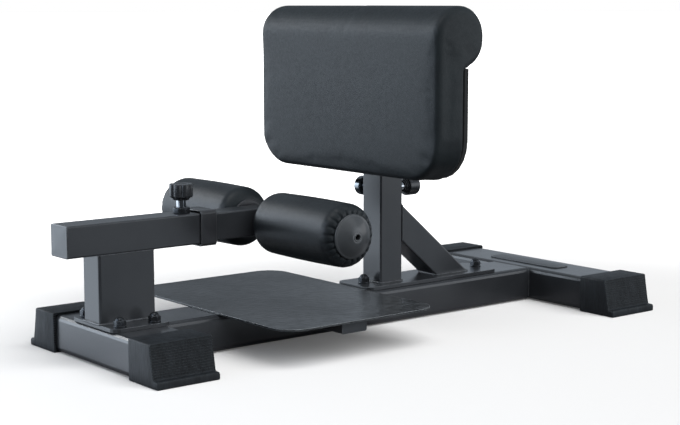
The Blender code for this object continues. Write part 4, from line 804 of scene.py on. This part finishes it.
turned("top_pin_fluted_knob", top_seat, UP, [
    ([0.001, 0.0086, 0.0086], [KNOB_FOOT + 0.0115, KNOB_FOOT + 0.0115, KNOB_FOOT]),
    (profile[:, :1] - flute, KNOB_FOOT + profile[:, 1])],
    160, gloss_knob, "top_pin", "knobs", "top_pin_knob", sharp=40)
turned("rear_pin_turned_knob", rear_seat, ALONG, [([0.001, 0.0086], [0.0323, 0.0323]), softened(
    [(0.0086, 0.0205), (0.0100, 0.0205), (0.0100, 0.0226), (0.0118, 0.0228), (0.0118, 0.0248),
     (0.0138, 0.0250), (0.0138, 0.0268), (0.0168, 0.0270), (0.0173, 0.0285), (0.0173, 0.0515),
     (0.0075, 0.0515), (0.0070, 0.0509), (0.001, 0.0509)],
    [0] + 6 * [0.0005] + [0.0008, 0.0008, 0.0062, 0.0004, 0.0004, 0], steps=6).T],
    72, gloss_knob, "rear_pin", "knobs", "rear_pin_knob")
turned("clamp_turned_knob", clamp_seat, ACROSS, [([0.001, 0.0053], [0.0290, 0.0290]), softened(
    [(0.0053, 0.0120), (0.0095, 0.0120), (0.0095, 0.0190), (0.0150, 0.0200), (0.0173, 0.0210),
     (0.0173, 0.0350), (0.0110, 0.0350), (0.0100, 0.0344), (0.001, 0.0344)],
    [0, 0.0008, 0.0010, 0.0015, 0.0020, 0.0038, 0.0006, 0.0006, 0], steps=6).T],
    72, polished, "clamp_grip", "plated", "clamp_knob")


# Foot rollers: two foam cushions on plastic cores, turning on the axle through the sliding tube.
# Their vinyl covers are pulled tight and gathered in small pleats round the domed caps.
ROLLER_START, ROLLER_END = 0.0363, 0.2420       # from the bench's middle
ROLLER_RADIUS = 0.0505
ROLLER_EDGE = 0.020
ROLLER_BORE = 0.0116
ROLLER_PLEATS = 22
axle_middle, axle_half = middle_of("roller_axle")
AXLE_PLACE = (axle_middle[0], 0.0, axle_middle[2])


def grained_vinyl(name, darker, lighter, gloss, low_rough, high_rough):
    """Upholstery vinyl: creases between cells of leather grain, 2.5 mm wide, dent it and hold
    painted shade.
    """
    made, tree, shader = new_material(name, {"IOR": 1.52, "Specular IOR Level": gloss})
    cells = add(tree, "TexVoronoi", {
        "Vector": add(tree, "TexCoord", out="Object"), "Scale": 1 / (2.5 * MILLIMETRE),
        "Randomness": 0.9}, "Distance", feature="DISTANCE_TO_EDGE")
    # painted shade darkens the creases between the grain's cells
    crease_shade = add(tree, "MapRange", (cells, 0.0, 0.25, 0.30, 0.0))
    height = add(tree, "MapRange", (cells, 0.0, 0.25, 0.0, 1.0))
    surface(shader, [darker, (grain(tree, 60, 4.0), 0.3, 0.7, lighter), (crease_shade, 0, 1, "#121315")],
            (grain(tree, 5), 0.3, 0.7, low_rough, high_rough), (height, 0.20, 0.0004))
    return made


roller_vinyl = grained_vinyl("roller_vinyl", "#15191c", "#1c2124", 0.47, 0.36, 0.46)


def roller_cushion(side_name, side):
    """One roller cushion: its section, a long rectangle with round ends, turned round the axle.

    The outer end is gathered: its surface dips in narrow pleats, whose depth is the sixth power
    of a cosine round the axle and grows towards the cap.  Slow waves keep it from being a perfect
    drum, and the cap's rim presses a ring into it.
    """
    start, end, edge = ROLLER_START, ROLLER_END, ROLLER_EDGE
    face = ROLLER_RADIUS - edge
    bend = np.radians(np.linspace(0, 90, 10))
    share = np.linspace(0, 1, 26)[1:-1]
    # one column each: radius and height of the outer face, outer end, barrel, inner end, inner
    # face and bore
    wall = np.hstack((
        (np.linspace(ROLLER_BORE, face, 8)[:-1], np.full(7, end)),
        (face + edge * np.sin(bend), end - edge * (1 - np.cos(bend))),
        (ROLLER_RADIUS + 0.0010 * np.sin(np.pi * share),
         end - edge - (end - start - 2 * edge) * share),
        (face + edge * np.cos(bend), start + edge * (1 - np.sin(bend))),
        (np.linspace(face, ROLLER_BORE, 6)[1:], np.full(5, start)),
        (np.full(3, ROLLER_BORE), np.linspace(start, end, 5)[1:-1])))
    steps = 264
    turn = turns(steps)
    radius, height = wall[:, :, None] * np.ones(steps)
    wander = 0.25 * np.sin(3 * turn + 0.7) + 0.15 * np.sin(5 * turn + 2.1)
    pleat = np.cos(ROLLER_PLEATS * turn / 2 + wander)[None] ** 6
    gather = (np.clip((height - (end - 0.016)) / 0.016, 0, 1)
              * np.clip((radius - 0.030) / 0.006, 0, 1))
    dip = 0.0024 * pleat * gather ** 1.3
    slope = np.clip((height - (end - edge)) / edge, 0, 1)
    wave = 0.00035 * np.sin(2 * turn + 9 * side)[None] * np.sin(24 * height) * (radius > 0.045)
    radius = radius - dip * (1 - slope) + wave
    pressed = (0.0026 * np.clip(1 - np.abs(radius - 0.0346) / 0.0032, 0, 1) ** 0.7
               * (height > end - edge))
    height = height - dip * slope - pressed
    made = turned(side_name + "_roller_pad", AXLE_PLACE, (0, side, 0), [(radius, height)], steps,
                  roller_vinyl, side_name + "_roller", "roller_cover",
                  side_name + "_roller_cushion", closed=True, sharp=60)


def roller_cap(side_name, side):
    """The outer cap: a shallow dome with a rolled rim, and a raised ring round its middle hole."""
    seat, rim, dome = 0.2423, 0.035, 0.0138
    reach = np.linspace(0.0082, 0.0325, 12)
    top = np.column_stack((reach, seat + dome * (1 - (reach / rim) ** 2)))
    boss = softened([(0.0045, seat + 0.0050), (0.0045, seat + 0.0136), (0.0066, seat + 0.0137),
                     (0.0072, seat + 0.0128)], 0.0006, steps=4)
    edge = softened([(0.0335, seat + 0.0016), (rim, seat + 0.0008), (rim, seat - 0.0016),
                     (0.0332, seat - 0.0016), (0.0320, seat + 0.0001)], 0.0006, steps=4)
    under = np.column_stack((reach[::-1], np.maximum(seat + 0.0004, top[::-1, 1] - 0.0026)))
    turned_ring(side_name + "_roller_dome_cap", side_name + "_roller_outer_cap", AXLE_PLACE,
                (0, side, 0), np.vstack((boss, top, edge, under)), grey_nylon,
                side_name + "_roller", "plastic", 0.0, 96, 40.0)


def button_screw(name, centre, axis, socket, head, tilts, rest, cut, body_name, *nodes):
    """A button-head screw: a hexagonal socket, a domed head, and a washer and shank below.

    The socket has its width, its floor and its mouth, and the head its radius, the least that the
    socket leaves of it, its foot and its rise.  The rest is an outline of radius and height.
    """
    steps = 48
    across, floor, mouth = socket
    radius, least, foot, rise = head
    tilt = np.radians(tilts)
    turned(name, centre, axis, [
        (hexagon(across, steps) * np.array([[0.2], [1.0], [1.0]]), (floor, floor, mouth)),
        (np.maximum(radius * np.cos(tilt), least), foot + rise * np.sin(tilt)),
        softened(rest, cut, steps=3).T], steps, black_steel, body_name, "fasteners", *nodes,
        sharp=30)


for side_name, side in (("left", -1), ("right", 1)):
    roller_cushion(side_name, side)
    roller_cap(side_name, side)
    # the flat inner flange, a disc with a rolled rim and a shallow step round the axle
    turned_ring(side_name + "_roller_flange", side_name + "_roller_inner_flange", AXLE_PLACE,
                (0, side, 0), [(0.0083, 0.0330), (0.0083, 0.0360), (0.0310, 0.0360),
                               (0.0310, 0.0340), (0.0290, 0.0330), (0.0160, 0.0330),
                               (0.0150, 0.0336), (0.0125, 0.0336), (0.0115, 0.0330)],
                nylon, side_name + "_roller", "plastic", 0.0006, 72)
    button_screw(side_name + "_axle_button_screw",
                 (AXLE_PLACE[0], side * axle_half[1], AXLE_PLACE[2]), (0, side, 0),
                 (0.005, 0.0040, 0.0063), (0.0065, 0.0034, 0.0036, 0.0030),
                 [80, 65, 50, 35, 20, 0],
                 [(0.0065, 0.0026), (0.0110, 0.0016), (0.0110, 0.0003), (0.0040, 0.0003),
                  (0.0040, -0.0200), (0.0005, -0.0200)], 0.0004,
                 "roller_carriage", side_name + "_axle_screw")
    coat(nylon, side_name + "_roller_core")
    coat(black_steel, side_name + "_axle_spacer")


# Calf pad: foam on a plywood board under the same vinyl, with a flat front, a thick roll along the
# top and round lower corners.  The cover is folded over the board's edge and stapled behind.
PAD_HALF = 0.243
PAD_CORNER = 0.070
PAD_EDGE = 0.0118
PAD_SWELL = 0.003
ROLL = 0.0515
pad_low, pad_high = ends("pad_cushion")
board_low, board_high = ends("pad_board")
ROLL_PLACE = (pad_high[0] - ROLL, pad_high[2] - ROLL)
PAD_FRONT = pad_low[0] + PAD_SWELL
PAD_BACK = board_low[0] - 0.0003


def pad_rows():
    """The cushion as side outlines set along the bench's width.

    An outline runs from the lower front edge up the flat front, round the roll and down the back.
    Towards each end the outlines draw in along a quarter circle, and the lower edge rises along the
    round lower corner.  The front swells by a few millimetres, most in the middle.
    """
    turn = np.linspace(0, np.pi / 2, 9)
    edge_y = PAD_HALF - PAD_EDGE + PAD_EDGE * np.cos(turn)
    y = np.concatenate((edge_y, np.linspace(PAD_HALF - PAD_EDGE, 0, 34)[1:]))
    inset = np.concatenate((PAD_EDGE * (1 - np.sin(turn)), np.zeros(33)))
    y = np.concatenate((-y, y[-2::-1]))
    inset = np.concatenate((inset, inset[-2::-1]))
    past = np.maximum(0.0, np.abs(y) - (PAD_HALF - PAD_CORNER))
    rise = PAD_CORNER - np.sqrt(np.maximum(0.0, PAD_CORNER ** 2 - past ** 2))
    lift = np.minimum(rise, PAD_CORNER * 0.86) + inset
    low = (pad_low[2] + lift)[:, None]
    front = (PAD_FRONT + inset)[:, None]
    back = (PAD_BACK - 0.4 * inset)[:, None]
    roll = (ROLL - inset)[:, None]
    bend = np.linspace(0, np.pi / 2, 7)[None]
    sweep = np.linspace(0, np.pi / 2, 16)[None]
    front_z = low + PAD_EDGE + (ROLL_PLACE[1] - low - PAD_EDGE) * np.linspace(0, 1, 30)[None, 1:-1]
    # the roll comes round until it meets the board's top, 1.5 mm in from its back
    meet = -np.arccos(np.clip((board_high[0] + 0.0015 - ROLL_PLACE[0]) / roll, -1, 1))
    round_back = np.pi / 2 + (meet - np.pi / 2) * np.linspace(0, 1, 30)[None, 1:]
    under = board_high[2] + 0.0003
    shelf_x = board_high[0] + (back - board_high[0]) * np.linspace(0, 1, 5)[None]
    back_z = under + (low + 0.004 - under) * np.linspace(0, 1, 26)[None, 1:]
    # in turn: lower edge, front, brow, roll, shelf on the board, back, and the back's lower end
    x = np.hstack((front + PAD_EDGE * (1 - np.sin(bend)), front + 0 * front_z,
                   ROLL_PLACE[0] - (ROLL_PLACE[0] - front) * np.cos(sweep),
                   ROLL_PLACE[0] + roll * np.cos(round_back), shelf_x, back + 0 * back_z,
                   back - 0.004))
    z = np.hstack((low + PAD_EDGE * (1 - np.cos(bend)), front_z,
                   ROLL_PLACE[1] + roll * np.sin(sweep),
                   ROLL_PLACE[1] + roll * np.sin(round_back), under + 0 * shelf_x, back_z, low))
    height = np.clip((z - pad_low[2]) / (ROLL_PLACE[1] - pad_low[2]), 0, 1)
    swell = PAD_SWELL * (1 - (y[:, None] / PAD_HALF) ** 4) * np.sin(np.pi * height)
    x = x - swell * (x < ROLL_PLACE[0] - PAD_EDGE)
    return np.stack((x, np.broadcast_to(y[:, None], x.shape), z), -1)


COVER_SQUARE = 0.0042             # width of the cloth's squares
COVER_SLACK = 0.0010
COVER_LIMIT = 0.0016
COVER_FRAMES = 20


def pulled_over(made):
    """The cover pulled over its foam: a cloth blown up from a slightly smaller shape.

    The shape is refilled with even squares, drawn in by the slack along its normals, and blown
    up.  No point ends further than the limit from where it began, by a hyperbolic tangent.  Free
    is each point's share of the slack and of the limit.  It grows from 0 near the board, where the
    cover is stapled, to 1 at 30 mm further to the front or 40 mm further up.
    """
    refill = made.modifiers.new("even_squares", "REMESH")
    refill.mode = "VOXEL"
    refill.voxel_size = COVER_SQUARE
    graph = bpy.context.evaluated_depsgraph_get()
    even = bpy.data.meshes.new_from_object(made.evaluated_get(graph))
    even.name = made.name
    made.modifiers.clear()
    made.data = even
    count = len(even.vertices)
    begun, normal, blown = np.empty(count * 3), np.empty(count * 3), np.empty(count * 3)
    even.vertices.foreach_get("co", begun)
    even.vertex_normals.foreach_get("vector", normal)
    begun = begun.reshape(-1, 3)
    free = np.clip(np.maximum((PAD_BACK - 0.005 - begun[:, 0]) / 0.030,
                              (begun[:, 2] - board_high[2] - 0.010) / 0.040), 0, 1)[:, None]
    begun -= normal.reshape(-1, 3) * COVER_SLACK * free
    even.vertices.foreach_set("co", begun.ravel())
    stapled = made.vertex_groups.new(name="stapled")
    stapled.add(np.flatnonzero(free == 0).tolist(), 1.0, "REPLACE")
    cover = made.modifiers.new("cover", "CLOTH")
    cover.settings.use_pressure = True
    cover.settings.uniform_pressure_force = 4.0
    cover.settings.vertex_group_mass = "stapled"
    cover.settings.effector_weights.gravity = 0.0
    cover.settings.shrink_min = 0.008
    cover.settings.bending_stiffness = 6.0
    for frame_number in range(1, COVER_FRAMES + 1):
        scene.frame_set(frame_number)
    graph = bpy.context.evaluated_depsgraph_get()
    made.evaluated_get(graph).data.vertices.foreach_get("co", blown)
    moved = blown.reshape(-1, 3) - begun
    length = np.linalg.norm(moved, axis=1)[:, None]
    moved *= free * COVER_LIMIT * np.tanh(length / COVER_LIMIT) / np.maximum(length, 1e-9)
    made.modifiers.clear()
    made.vertex_groups.clear()
    scene.frame_set(1)
    even.vertices.foreach_set("co", (begun + moved).ravel())
    even.shade_smooth()
    finer = made.modifiers.new("finer", "SUBSURF")
    finer.levels = finer.render_levels = 1


pad = skin("calf_pad_cushion", pad_rows(), sharp=60)
pulled_over(pad)
pad_vinyl = grained_vinyl("pad_vinyl", "#181d20", "#1f2528", 0.42, 0.46, 0.56)
fit(pad, pad_vinyl, "pad_carriage", "pad_cover", "pad_cushion")

# Backing: the plywood board is wrapped in black non-woven cloth, fibrous and quite matt
backing, tree, shader = new_material("nonwoven_backing", {
    "IOR": 1.45, "Specular IOR Level": 0.25, "Sheen Weight": 0.15})
fibres = grain(tree, 2.2, 4.0, rough=0.7)
surface(shader, ["#191a1c", (fibres, 0.3, 0.7, "#26282a")], (fibres, 0.3, 0.7, 0.75, 0.9),
        (fibres, 0.4, 0.0004))
coat(backing, "pad_board")

# Pad screws: four pan-head screws with washers through the brackets' flanges into the board
SCREW_SPREAD = 0.0648
SCREW_INSET = 0.018               # from the flange's lower and upper end
FLANGE = 0.004
bracket_low, bracket_high = ends("right_pad_bracket")
screw_seat = board_high[0] + 0.0003 + FLANGE + 0.0001
for level, z in (("lower", bracket_low[2] + SCREW_INSET), ("upper", bracket_high[2] - SCREW_INSET)):
    for side_name, side in (("left", -1), ("right", 1)):
        button_screw(f"{side_name}_{level}_pad_screw", (screw_seat, side * SCREW_SPREAD, z), ALONG,
                     (0.0035, 0.0022, 0.0040), (0.0052, 0.0026, 0.0014, 0.0028),
                     [82, 68, 54, 40, 26, 12, 0],
                     [(0.0052, 0.0012), (0.0072, 0.0012), (0.0072, 0.0), (0.0030, 0.0),
                      (0.0030, -0.0100), (0.0010, -0.0110)], 0.0003, "pad_carriage")
